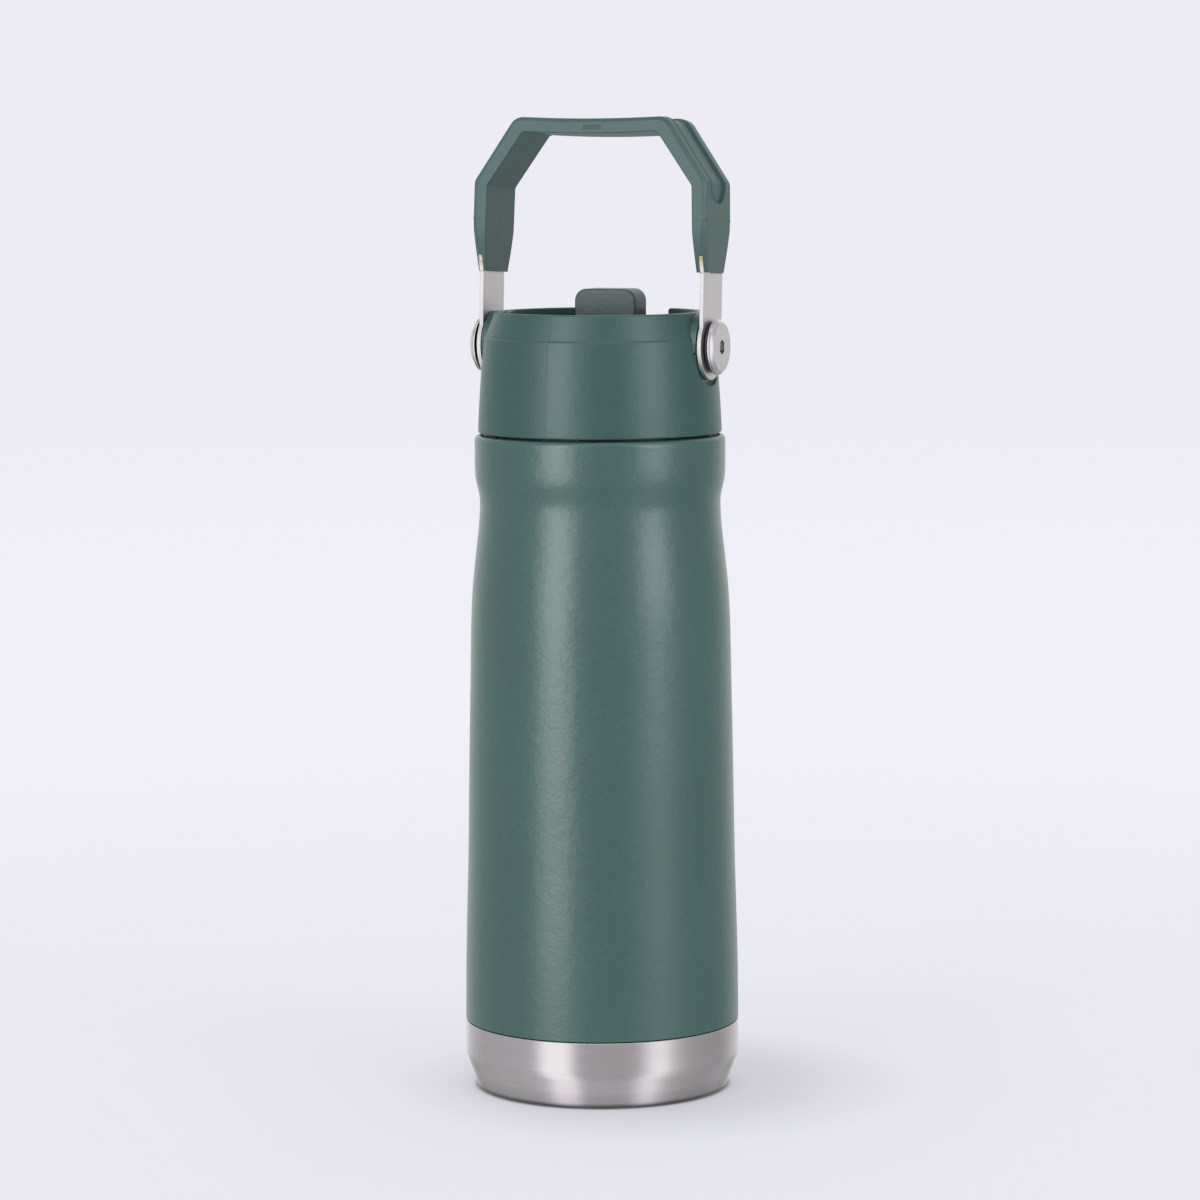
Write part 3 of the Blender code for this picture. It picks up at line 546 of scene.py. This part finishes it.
def notch_outline():
    """Rounded lower corners, and convex corners where the notch opens in the rim."""
    half, low, flare = NOTCH_HALF, 193.1, 0.8
    right = arc((half - 2.0, low + 2.0), 2.0, 270, 360, 8)
    right += arc((half + flare, RIM_TOP - flare), flare, 180, 90, 6)
    right += [(half + flare, RIM_TOP + 3)]
    return [(-x, z) for x, z in reversed(right)] + right


def make_collar():
    seam = 266.1          # the mould's parting line, in degrees
    near_seam = [seam + step for step in (-1.0, -0.35, 0, 0.35, 1.0)]
    made_angles = [360 * k / FINE for k in range(FINE)]
    made_angles = [a for a in made_angles if abs(a - seam) > 1.3]
    made_angles = sorted(made_angles + near_seam)
    collar = solid("collar", turned(collar_outline(), made_angles))
    ray = Vector((math.cos(math.radians(seam)), math.sin(math.radians(seam)), 0))
    for vertex in collar.data.vertices:
        flat = Vector((vertex.co.x, vertex.co.y, 0))
        on_seam = flat.normalized().dot(ray) > math.cos(math.radians(0.1))
        if on_seam and flat.length > 30.4 * MM and vertex.co.z < 198 * MM:
            vertex.co += ray * 0.035 * MM
    boss = softened([(0, BOSS_INNER), (BOSS_RADIUS, BOSS_INNER), (BOSS_RADIUS, BOSS_FACE + 1),
                     (0, BOSS_FACE + 1)])
    facing = softened([(0, 24.9), (4.2, 24.9), (4.2, BOSS_FACE, 0.3),
                       (SPOT_RADIUS, BOSS_FACE, 0.35), (SPOT_RADIUS, 36), (0, 36)], 3)
    for turn in SIDES.values():
        where = place((0, 0, PIVOT_HEIGHT), (0, turn, 0))
        combine(collar, "UNION", turned(boss, MEDIUM), where)
        combine(collar, "DIFFERENCE", turned(facing, MEDIUM), where)
    combine(collar, "DIFFERENCE", prism(notch_outline(), 18, 36, "XZY"))
    cleaned(collar)
    rounded(collar, 0.16, 2, 38)
    piece(collar, LID_PLASTIC, "lid", "green_plastic", "lid_collar")


def make_deck():
    disc = softened([(0, DECK_TOP), (DECK_RADIUS, DECK_TOP, 0.9), (DECK_RADIUS, DECK_BOTTOM, 0.3),
                     (0, DECK_BOTTOM)])
    deck = solid("deck", turned(disc, MEDIUM))
    spigot = [(0, 178.2), (4.6, 178.2), (4.8, 178.4), (4.8, 187), (0, 187)]
    combine(deck, "UNION", turned(spigot, 48), place((0, HINGE_Y, 0)))
    top = DECK_TOP + 3
    channel = softened([(-13.1, top), (-13.1, 193.0, 1.2), (-0.9, 193.0, 0.5), (-0.9, 187.9, 1.6),
                        (10.9, 187.9, 1.6), (10.9, 193.1, 0.5), (34, 193.1), (34, top)], 5)
    combine(deck, "DIFFERENCE", prism(channel, -9.1, 9.1, "YZX"))
    port = [(0, 170), (3.0, 170), (3.0, 190), (0, 190)]
    combine(deck, "DIFFERENCE", turned(port, 48), place((0, HINGE_Y, 0)))
    scallop = [(0, 24.0), (BOSS_RADIUS + 0.4, 24.0), (BOSS_RADIUS + 0.4, 32), (0, 32)]
    hole = [(0, 8.1), (1.8, 8.1), (1.8, 12.4), (0, 12.4)]
    for turn in SIDES.values():
        combine(deck, "DIFFERENCE", turned(scallop, 72), place((0, 0, PIVOT_HEIGHT), (0, turn, 0)))
        combine(deck, "DIFFERENCE", turned(hole, 32), place((0, HINGE_Y, HINGE_Z), (0, turn, 0)))
    vent = [(0, 190), (1.6, 190), (1.6, 202), (0, 202)]
    combine(deck, "DIFFERENCE", turned(vent, 32), place((0, -19.5, 0)))
    cleaned(deck)
    rounded(deck, 0.22, 2, 38)
    piece(deck, LID_PLASTIC, "lid", "green_plastic", "lid_deck")


def make_spout():
    """Round hub, upright lever and long mouthpiece, with soft edges all round."""
    hub = 5.2
    front, rear, top = -1.2, 7.3, 17.5
    low, high, tip = -1.1, 8.1, 23.0
    half = 8.6
    top_meet = 180 - math.degrees(math.acos(-front / hub))
    arm_meet = 360 + math.degrees(math.asin(low / hub))
    outline = arc((0, 0), hub, top_meet, arm_meet, 44)
    outline += softened([(0, low), (tip, low), (tip, high), (rear, high, 1.6), (rear, top),
                         (front, top), (front, 6)], 6)[1:-1]
    bm = prism(outline, -half, half, "YZX")

    def along(edge):
        return abs(edge.verts[0].co.x - edge.verts[1].co.x) < 1e-7

    tops = [e for e in bm.edges if along(e) and min(v.co.z for v in e.verts) > (top - 0.1) * MM]
    bmesh.ops.bevel(bm, geom=tops, offset=3.2 * MM, segments=8, affect="EDGES", profile=0.5)
    tips = [e for e in bm.edges if along(e) and min(v.co.y for v in e.verts) > (tip - 0.1) * MM]
    bmesh.ops.bevel(bm, geom=tips, offset=3.0 * MM, segments=7, affect="EDGES", profile=0.5)
    hinge = place((0, HINGE_Y, HINGE_Z))
    spout = solid("flip_spout", bm, hinge)
    cleaned(spout, 0.004)
    rounded(spout, 0.95, 5, 40)
    path = [(-7, 0), (3, 0), (6.5, 1.2), (10, 2.6), (13, 3.4), (28, 3.5)]
    combine(spout, "DIFFERENCE", swept_tube(smooth_line(path, 4), 2.6, 40), hinge)
    hole = [(0, 3.9), (1.8, 3.9), (1.8, 10), (0, 10)]
    for turn in SIDES.values():
        where = place((0, HINGE_Y, HINGE_Z), (0, turn, 0))
        combine(spout, "DIFFERENCE", turned(hole, 32), where)
    cleaned(spout)
    piece(spout, SPOUT_PLASTIC, "spout", "spout_plastic", "spout", sharp=38)


def make_pivots():
    """Lipped screw heads with a groove, a polished chamfer and a hex socket, and the washers."""
    head = 32.75
    screw = softened([(0, 25.6), (1.6, 25.6), (2.0, 26.0), (2.0, 30.2), (3.1, 30.2, 0.1),
                      (3.1, head), (7.3, head, 0.1), (7.3, head + 0.4, 0.12),
                      (6.98, head + 0.5, 0.05), (7.2, head + 0.68, 0.08),
                      (7.2, head + 0.85, 0.1), (6.35, 34.35, 0.12), (0, 34.35)], 3)
    ring = softened([(3.4, 31.85), (6.7, 31.85, 0.12), (6.7, 32.45, 0.12), (3.4, 32.45)], 3)
    hexagon = arc((0, 0), 2.0, 0, 300, 5)
    for side, turn in SIDES.items():
        where = place((0, 0, PIVOT_HEIGHT), (0, turn, 0))
        made = solid(side + "_screw", turned(screw, MEDIUM), where)
        combine(made, "DIFFERENCE", prism(hexagon, 32.6, 36, "XYZ"), where)
        rounded(made, 0.05, 1, 50)
        piece(made, SCREW_STEEL, "lid", "screw_steel", side + "_pivot_screw")
        made = solid(side + "_spacer", turned(ring, MEDIUM), where)
        piece(made, BLACK_PLASTIC, "lid", "black_plastic", side + "_washer")


# ---------------------------------------------------------------- handle

HANDLE = place((0, 0, PIVOT_HEIGHT), (LEAN, 0, 0))
GRIP_FOOT, GRIP_FULL, CORNER_HEIGHT, BAR_TOP = 19.3, 30.2, 42.8, 59.5
TANG_START, TANG_TOP, TANG_HALF = 23.6, 38.6, 5.5
FOOT_DEPTH, FULL_DEPTH = 7.35, 9.75
CHANNEL_HALF, CHANNEL_DEPTH = 5.05, 0.6
CHANNEL_LIP = 0.16        # fine raised lip along the channel's edges
CHANNEL_FOOT = 37.3       # height of the channel's rounded ends
PARTING = 33.0            # height of the small step where the mould's halves meet
MARK_LEFT, MARK_RIGHT = -1.8, 3.3
MARK_GROOVES = (56.2, 56.65, 57.1)    # three plain grooves, by their lower edges
MARK_GROOVE_WIDTH = 0.27
EXTRA_STATIONS = [PARTING + d for d in (-0.35, -0.12, 0.12, 0.3)]
EXTRA_STATIONS += [CHANNEL_FOOT + d for d in (0.0, 0.04, 0.2, 0.5, 1.0, 1.7, 2.6, 3.7, 5.05)]


def rounded_path(points, steps):
    """An open path of (u, v) or (u, v, radius) points with its inner corners rounded."""
    path = [points[0][:2]]
    for before, corner, after in zip(points, points[1:], points[2:]):
        radius = corner[2]
        corner, before, after = Vector(corner[:2]), before[:2], after[:2]
        back = (Vector(before) - corner).normalized()
        on = (Vector(after) - corner).normalized()
        half = back.angle(on) / 2
        centre = corner + (back + on).normalized() * (radius / math.sin(half))
        first = corner + back * (radius / math.tan(half)) - centre
        last = corner + on * (radius / math.tan(half)) - centre
        for k in range(steps + 1):
            ray = first.slerp(last, k / steps).normalized()
            path.append(tuple(centre + ray * radius))
    return path + [points[-1][:2]]


def divided(inner, outer, longest):
    """Splits matching legs of both paths so that none is longer than longest."""
    stations = []
    for k in range(len(outer) - 1):
        length = (Vector(outer[k + 1]) - Vector(outer[k])).length
        parts = max(1, math.ceil(length / longest))
        for step in range(parts):
            t = step / parts
            stations.append((Vector(inner[k]).lerp(Vector(inner[k + 1]), t),
                             Vector(outer[k]).lerp(Vector(outer[k + 1]), t)))
    return stations + [(Vector(inner[-1]), Vector(outer[-1]))]


def grip_stations():
    """Inner and outer (X, Z) points up the right side to the middle of the bar."""
    outer = [(32.85, GRIP_FULL), (32.6, CORNER_HEIGHT, 3.0), (21.3, BAR_TOP, 4.0), (0, BAR_TOP)]
    inner = [(28.9, GRIP_FULL), (28.6, CORNER_HEIGHT - 1.2, 1.5), (18.75, BAR_TOP - 3.9, 1.5),
             (0, BAR_TOP - 3.9)]
    outer = [(32.2, GRIP_FOOT)] + rounded_path(outer, 8)
    inner = [(29.5, GRIP_FOOT)] + rounded_path(inner, 8)
    stations = divided(inner, outer, 0.9)
    for height in EXTRA_STATIONS:
        k = next(i for i in range(len(stations)) if stations[i + 1][1].y > height)
        (in_low, out_low), (in_high, out_high) = stations[k], stations[k + 1]
        t = (height - out_low.y) / (out_high.y - out_low.y)
        if 0.02 < t < 0.98:
            stations.insert(k + 1, (in_low.lerp(in_high, t), out_low.lerp(out_high, t)))
    made = []
    for start, end in stations:
        sag = 0.5 * (1 - min(1.0, (end.x / 19.0)) ** 2) if end.y > BAR_TOP - 1 else 0.0
        made.append((start - Vector((0, sag)), end - Vector((0, sag * 0.9))))
    return made


def grip_depth(height):
    t = min(1.0, max(0.0, (height - GRIP_FOOT) / (GRIP_FULL - GRIP_FOOT)))
    return FOOT_DEPTH + (FULL_DEPTH - FOOT_DEPTH) * (1 - (1 - t) ** 1.3)


def channel_width(height):
    """Half width of the outer channel: full above its foot, and rounded off below it."""
    reach = height - CHANNEL_FOOT
    if reach <= 0.02:
        return 0.0
    if reach >= CHANNEL_HALF:
        return CHANNEL_HALF
    return math.sqrt(CHANNEL_HALF ** 2 - (CHANNEL_HALF - reach) ** 2)


def grip_section(thick, depth, width, chamfer):
    """Outline (u outwards, v along the grip's depth) with the channel cut in the outer face."""
    sunk = CHANNEL_DEPTH if width else 0.0
    width = max(width, 0.4)
    made = softened([(0, -depth, 0.3), (0, -0.12), (-0.035, 0), (0, 0.12), (0, depth, 0.3),
                     (thick - chamfer, depth, 0.22), (thick, depth - chamfer, 0.22),
                     (thick, chamfer - depth, 0.22), (thick - chamfer, -depth, 0.22)], 3)
    lip = CHANNEL_LIP * sunk / CHANNEL_DEPTH
    cut = [(thick, width + 0.8), (thick + lip, width + 0.42), (thick + lip, width + 0.22),
           (thick - 0.06 * sunk, width + 0.08),
           (thick - 0.35 * sunk, width + 0.02), (thick - 0.8 * sunk, width - 0.05),
           (thick - sunk, width - 0.3)]
    cut += [(u, -v) for u, v in reversed(cut)]
    count = 4 * 4 + 3     # points of four corners and of the mould line before the channel
    return made[:count] + cut + made[count:]


def make_grip():
    right = grip_stations()
    bm = bmesh.new()
    rings = []
    count = len(right)
    order = [(-1, k) for k in range(count)] + [(1, k) for k in range(count - 2, -1, -1)]
    for sign, k in order:
        start, end = right[k]
        across = (end - start).normalized()
        thick = (end - start).length
        height = (start.y + end.y) / 2
        depth = grip_depth(height)
        width = channel_width(end.y)
        ridge = 0.05 if abs(end.y - PARTING) < 0.2 else 0.0
        chamfer = 0.95 if end.y > PARTING else 0.95 + 0.35 * min(1.0, (PARTING - end.y) / 3)
        ring = []
        for u, v in grip_section(thick + ridge, depth + ridge, width, chamfer):
            point = start + across * u
            drop = 0.0
            if k == 0:
                drop = 0.16 * math.sin(v * 2.7 + sign) * math.sin(v * 1.1 + u * 2.0)
            ring.append(bm.verts.new(Vector((sign * point.x, v, point.y + drop)) * MM))
        rings.append(ring)
    for ring, following in zip(rings, rings[1:]):
        for k in range(len(ring)):
            after = (k + 1) % len(ring)
            bm.faces.new([ring[k], ring[after], following[after], following[k]])
    bm.faces.new(rings[0])
    bm.faces.new(rings[-1])
    grip = solid("grip", bm, HANDLE)
    for low in MARK_GROOVES:
        high = low + MARK_GROOVE_WIDTH
        groove = [(MARK_LEFT, low), (MARK_RIGHT, low), (MARK_RIGHT, high), (MARK_LEFT, high)]
        combine(grip, "DIFFERENCE", prism(groove, -12, -FULL_DEPTH + 0.3, "XZY"), HANDLE)
    slot_in, slot_out = STRAP_FACE - 0.03, STRAP_FACE + STRAP_THICK + 0.03
    wide, narrow = 11.0, TANG_HALF + 0.25
    slot = [(-wide, GRIP_FOOT - 2), (wide, GRIP_FOOT - 2), (wide, TANG_START),
            (narrow, TANG_START), (narrow, TANG_TOP + 0.4), (-narrow, TANG_TOP + 0.4),
            (-narrow, TANG_START), (-wide, TANG_START)]
    for sign in (-1, 1):
        low, high = sorted((sign * slot_in, sign * slot_out))
        combine(grip, "DIFFERENCE", prism(slot, low, high, "YZX"), HANDLE)
    cleaned(grip)
    piece(grip, GRIP_PLASTIC, "handle", "green_plastic", "handle_grip", sharp=34)


def make_straps():
    half, eye_radius = 7.0, 8.6
    meet = math.degrees(math.acos(half / eye_radius))
    eye = arc((0, 0), eye_radius, 180 - meet, 360 + meet, 64)
    flush = [(grip_depth(h) - 0.12, h) for h in (GRIP_FOOT, 20.4, 21.5, 22.6, TANG_START - 0.1)]
    tang = [(TANG_HALF, TANG_START + 0.1), (TANG_HALF, TANG_TOP)]
    shank = [(half, GRIP_FOOT - 0.3)] + flush + tang
    shank += [(-v, h) for v, h in reversed(shank)]
    hole = [(0, 28), (3.4, 28), (3.4, 34), (0, 34)]
    for side, turn in SIDES.items():
        sign = 1 if side == "right" else -1
        low, high = sorted((sign * STRAP_FACE, sign * (STRAP_FACE + STRAP_THICK)))
        strap = solid(side + "_strap_blade", prism(eye + shank, low, high, "YZX"), HANDLE)
        combine(strap, "DIFFERENCE", turned(hole, 64), HANDLE @ place(turn=(0, turn, 0)))
        rounded(strap, 0.14, 2, 40)
        piece(strap, STRAP_STEEL, "handle", "brushed_steel", side + "_strap")


make_shell()
make_base()
make_collar()
make_deck()
make_spout()
make_pivots()
make_straps()
make_grip()


# ---------------------------------------------------------------- camera, floor and light

def make_camera():
    data = bpy.data.cameras.new("camera")
    data.sensor_width = SENSOR
    data.lens = CAMERA_LENS
    data.clip_start = 0.05
    data.clip_end = 50
    camera = bpy.data.objects.new("camera", data)
    bpy.context.scene.collection.objects.link(camera)
    ahead = Vector((math.sin(CAMERA_YAW) * math.cos(CAMERA_PITCH),
                    math.cos(CAMERA_YAW) * math.cos(CAMERA_PITCH), -math.sin(CAMERA_PITCH)))
    right = Vector((math.cos(CAMERA_YAW), -math.sin(CAMERA_YAW), 0))
    up = right.cross(ahead)
    tilt = Matrix.Rotation(CAMERA_TURN, 3, "Z")
    side = tilt @ (right * math.cos(CAMERA_ROLL) + up * math.sin(CAMERA_ROLL))
    top = tilt @ (up * math.cos(CAMERA_ROLL) - right * math.sin(CAMERA_ROLL))
    back = tilt @ -ahead
    spot = tilt @ Vector((0, -CAMERA_DISTANCE, CAMERA_HEIGHT))
    rows = [(side[i], top[i], back[i], spot[i]) for i in range(3)] + [(0, 0, 0, 1)]
    camera.matrix_world = Matrix(rows)
    bpy.context.scene.camera = camera


# Light round the flask as (degrees from the camera's side, positive to its right, strength)
ROUND_LIGHT = [(-180, 1.12), (-158, 1.12), (-140, 0.8), (-122, 0.6), (-98, 0.6), (-66, 0.64),
               (-59, 0.75), (-54, 1.2), (-48, 1.5), (-31, 1.5), (-26, 1.1), (-21, 0.65),
               (-14, 0.55), (20, 0.53), (30, 0.62), (36, 0.9), (41, 1.2), (46, 1.36),
               (55, 1.36), (62, 0.9), (70, 0.68), (82, 0.52), (100, 0.48), (118, 0.46),
               (130, 0.6), (142, 0.88), (156, 1.02), (180, 1.12)]
BACKDROP = (0.845, 0.838, 0.905)
NEAR_FLOOR = (0.815, 0.808, 0.88)
FAR_FLOOR = (0.885, 0.878, 0.948)
REAR_FLOOR_LIGHT = 0.42
TOP_LIGHT = 0.75
ZENITH_LIGHT = 1.5


def make_world():
    world = bpy.data.worlds.new("studio")
    bpy.context.scene.world = world
    world.use_nodes = True
    world.node_tree.nodes.clear()
    tree = Tree(world.node_tree)
    ray = tree.add("ShaderNodeTexCoord").outputs["Generated"]
    local = tree.add("ShaderNodeVectorRotate", {"rotation_type": "Z_AXIS"}, Vector=ray,
                     Angle=-CAMERA_TURN).outputs[0]
    split = tree.add("ShaderNodeSeparateXYZ", Vector=local)
    front = tree.math("MULTIPLY", split.outputs["Y"], -1.0)
    angle = tree.math("ARCTAN2", split.outputs["X"], front)
    share = tree.span(angle, -math.pi, math.pi, 0.0, 1.0)
    tall = 2.5            # the ramp holds values up to 1, so it is scaled back up here
    stops = [((a + 180) / 360, (v / tall,) * 3) for a, v in ROUND_LIGHT]
    around = tree.ramp(share, stops)
    high = tree.span(split.outputs["Z"], 0.45, 0.85, 0.0, 1.0)
    zenith = tree.span(split.outputs["Z"], 0.86, 0.97, 0.0, 1.0)
    low = tree.span(split.outputs["Z"], -1.0, -0.74, 1.0, 0.0)
    behind = tree.span(tree.math("ABSOLUTE", angle), 1.9, 2.6, 0.0, 1.0)
    shaded = tree.math("MULTIPLY", behind, tree.span(split.outputs["Z"], -0.35, -0.1, 1.0, 0.0))
    around = tree.mix(shaded, around, (REAR_FLOOR_LIGHT / tall,) * 3)
    light = tree.mix(high, around, (TOP_LIGHT / tall,) * 3)
    light = tree.mix(zenith, light, (ZENITH_LIGHT / tall,) * 3)
    light = tree.mix(low, light, tuple(c / tall for c in NEAR_FLOOR))
    lit = tree.add("ShaderNodeBackground", Color=light, Strength=tall)
    shown = tree.add("ShaderNodeBackground", Color=(*BACKDROP, 1.0), Strength=1.0)
    seen = tree.add("ShaderNodeLightPath").outputs["Is Camera Ray"]
    joined = tree.add("ShaderNodeMixShader", Fac=seen)
    tree.feed(joined.inputs[1], lit.outputs[0])
    tree.feed(joined.inputs[2], shown.outputs[0])
    out = tree.add("ShaderNodeOutputWorld")
    tree.feed(out.inputs["Surface"], joined.outputs[0])


FLOOR_SHARE = 0.5         # how much of the near floor's brightness is received light
FLOOR_LIGHT = 0.865       # brightness of a white open floor under this world
FLOOR_SIDES = 96
FLOOR_RINGS = (0.0, 0.1, 0.3, 0.7, 1.5, 4.0, 12.0)
FLOOR_LEVEL = -0.0001
CONTACT = (0.0328, 0.0345, 0.25, 1.0)    # shade right under the foot: radii, strengths
SOFT_CENTRE = (0.015, 0.0, 0.0)          # middle of the wider shade, to the lee of the light
SOFT = (0.034, 0.072, 0.86, 1.0)


def make_floor():
    """A disc that takes the flask's shadow near it, with more shade drawn in round the foot,
    and fades into the backdrop further out."""
    bm = bmesh.new()
    rings = []
    for radius in FLOOR_RINGS:
        if radius == 0:
            rings.append([bm.verts.new((0, 0, FLOOR_LEVEL))] * FLOOR_SIDES)
        else:
            end = 360 - 360 / FLOOR_SIDES
            rings.append([bm.verts.new((x, y, FLOOR_LEVEL))
                          for x, y in arc((0, 0), radius, 0, end, FLOOR_SIDES - 1)])
    for ring, following in zip(rings, rings[1:]):
        for k in range(FLOOR_SIDES):
            after = (k + 1) % FLOOR_SIDES
            corners = dict.fromkeys([ring[k], ring[after], following[after], following[k]])
            bm.faces.new(list(corners))
    floor = solid("floor", bm)
    look = bpy.data.materials.new("pale_floor")
    look.use_nodes = True
    look.node_tree.nodes.clear()
    tree = Tree(look.node_tree)
    coords = tree.add("ShaderNodeTexCoord").outputs["Object"]
    reach = tree.add("ShaderNodeVectorMath", {"operation": "LENGTH"})
    tree.feed(reach.inputs[0], coords)
    radius = reach.outputs["Value"]
    wanted = tree.ramp(tree.span(radius, 0.0, 2.5, 0.0, 1.0),
                       [(0.0, NEAR_FLOOR), (0.05, NEAR_FLOOR), (0.3, FAR_FLOOR),
                        (1.0, BACKDROP)])
    local = tree.add("ShaderNodeVectorRotate", {"rotation_type": "Z_AXIS"}, Vector=coords,
                     Angle=-CAMERA_TURN).outputs[0]
    contact = tree.span(radius, *CONTACT)
    shifted = tree.add("ShaderNodeVectorMath", {"operation": "DISTANCE"})
    tree.feed(shifted.inputs[0], local)
    tree.feed(shifted.inputs[1], SOFT_CENTRE)
    soft = tree.span(shifted.outputs["Value"], *SOFT)
    # Painted shade: dim darkens both the floor's received colour and its glow round the foot.
    dim = tree.math("MULTIPLY", contact, soft)
    wanted = tree.mix(dim, (0, 0, 0), wanted)
    share = tree.span(radius, 0.25, 0.6, FLOOR_SHARE, 0.0)
    received = tree.mix(tree.math("MULTIPLY", share, dim), (0, 0, 0),
                        tuple(c / FLOOR_LIGHT for c in NEAR_FLOOR))
    # Painted light: the floor gives off the part of its brightness that it doesn't take from the
    # lights.
    glow = tree.mix(share, wanted, (0, 0, 0))
    matt = tree.add("ShaderNodeBsdfDiffuse", Color=received)
    lamp = tree.add("ShaderNodeEmission", Color=glow)
    both = tree.tree.nodes.new("ShaderNodeAddShader")
    tree.feed(both.inputs[0], matt.outputs[0])
    tree.feed(both.inputs[1], lamp.outputs[0])
    out = tree.add("ShaderNodeOutputMaterial")
    tree.feed(out.inputs["Surface"], both.outputs[0])
    floor.data.materials.append(look)
    floor.visible_glossy = False
    floor.visible_shadow = False


def strip_light(name, angle, wide, tall, foot, strength, colour, receivers):
    """A tall soft box that only the green pieces take light from."""
    far = 0.9
    data = bpy.data.lights.new(name, "AREA")
    data.shape = "RECTANGLE"
    data.size = wide
    data.size_y = tall
    data.energy = strength * math.pi * wide * tall
    data.color = colour
    lamp = bpy.data.objects.new(name, data)
    bpy.context.scene.collection.objects.link(lamp)
    turn = CAMERA_TURN + math.radians(angle)
    spot = Vector((far * math.sin(turn), -far * math.cos(turn), foot + tall / 2))
    facing = Vector((spot.x, spot.y, 0))
    lamp.location = spot
    lamp.rotation_euler = facing.to_track_quat("Z", "Y").to_euler()
    lamp.visible_camera = False
    lamp.visible_diffuse = False
    lamp.light_linking.receiver_collection = receivers


def make_lights():
    receivers = bpy.data.collections.new("green_pieces")
    for name in ("shell_body", "collar", "deck", "flip_spout", "grip", "thread_plug",
                 "left_spacer", "right_spacer"):
        receivers.objects.link(bpy.data.objects[name])
    strip_light("left_strip", -40, 0.40, 1.3, -0.05, 4.0, (1.0, 0.99, 0.985), receivers)
    strip_light("right_strip", 50, 0.38, 1.2, 0.08, 3.5, (0.96, 0.98, 1.0), receivers)


make_camera()
make_world()
make_floor()
make_lights()
bpy.context.scene.view_settings.view_transform = "Standard"

bpy.context.view_layer.update()
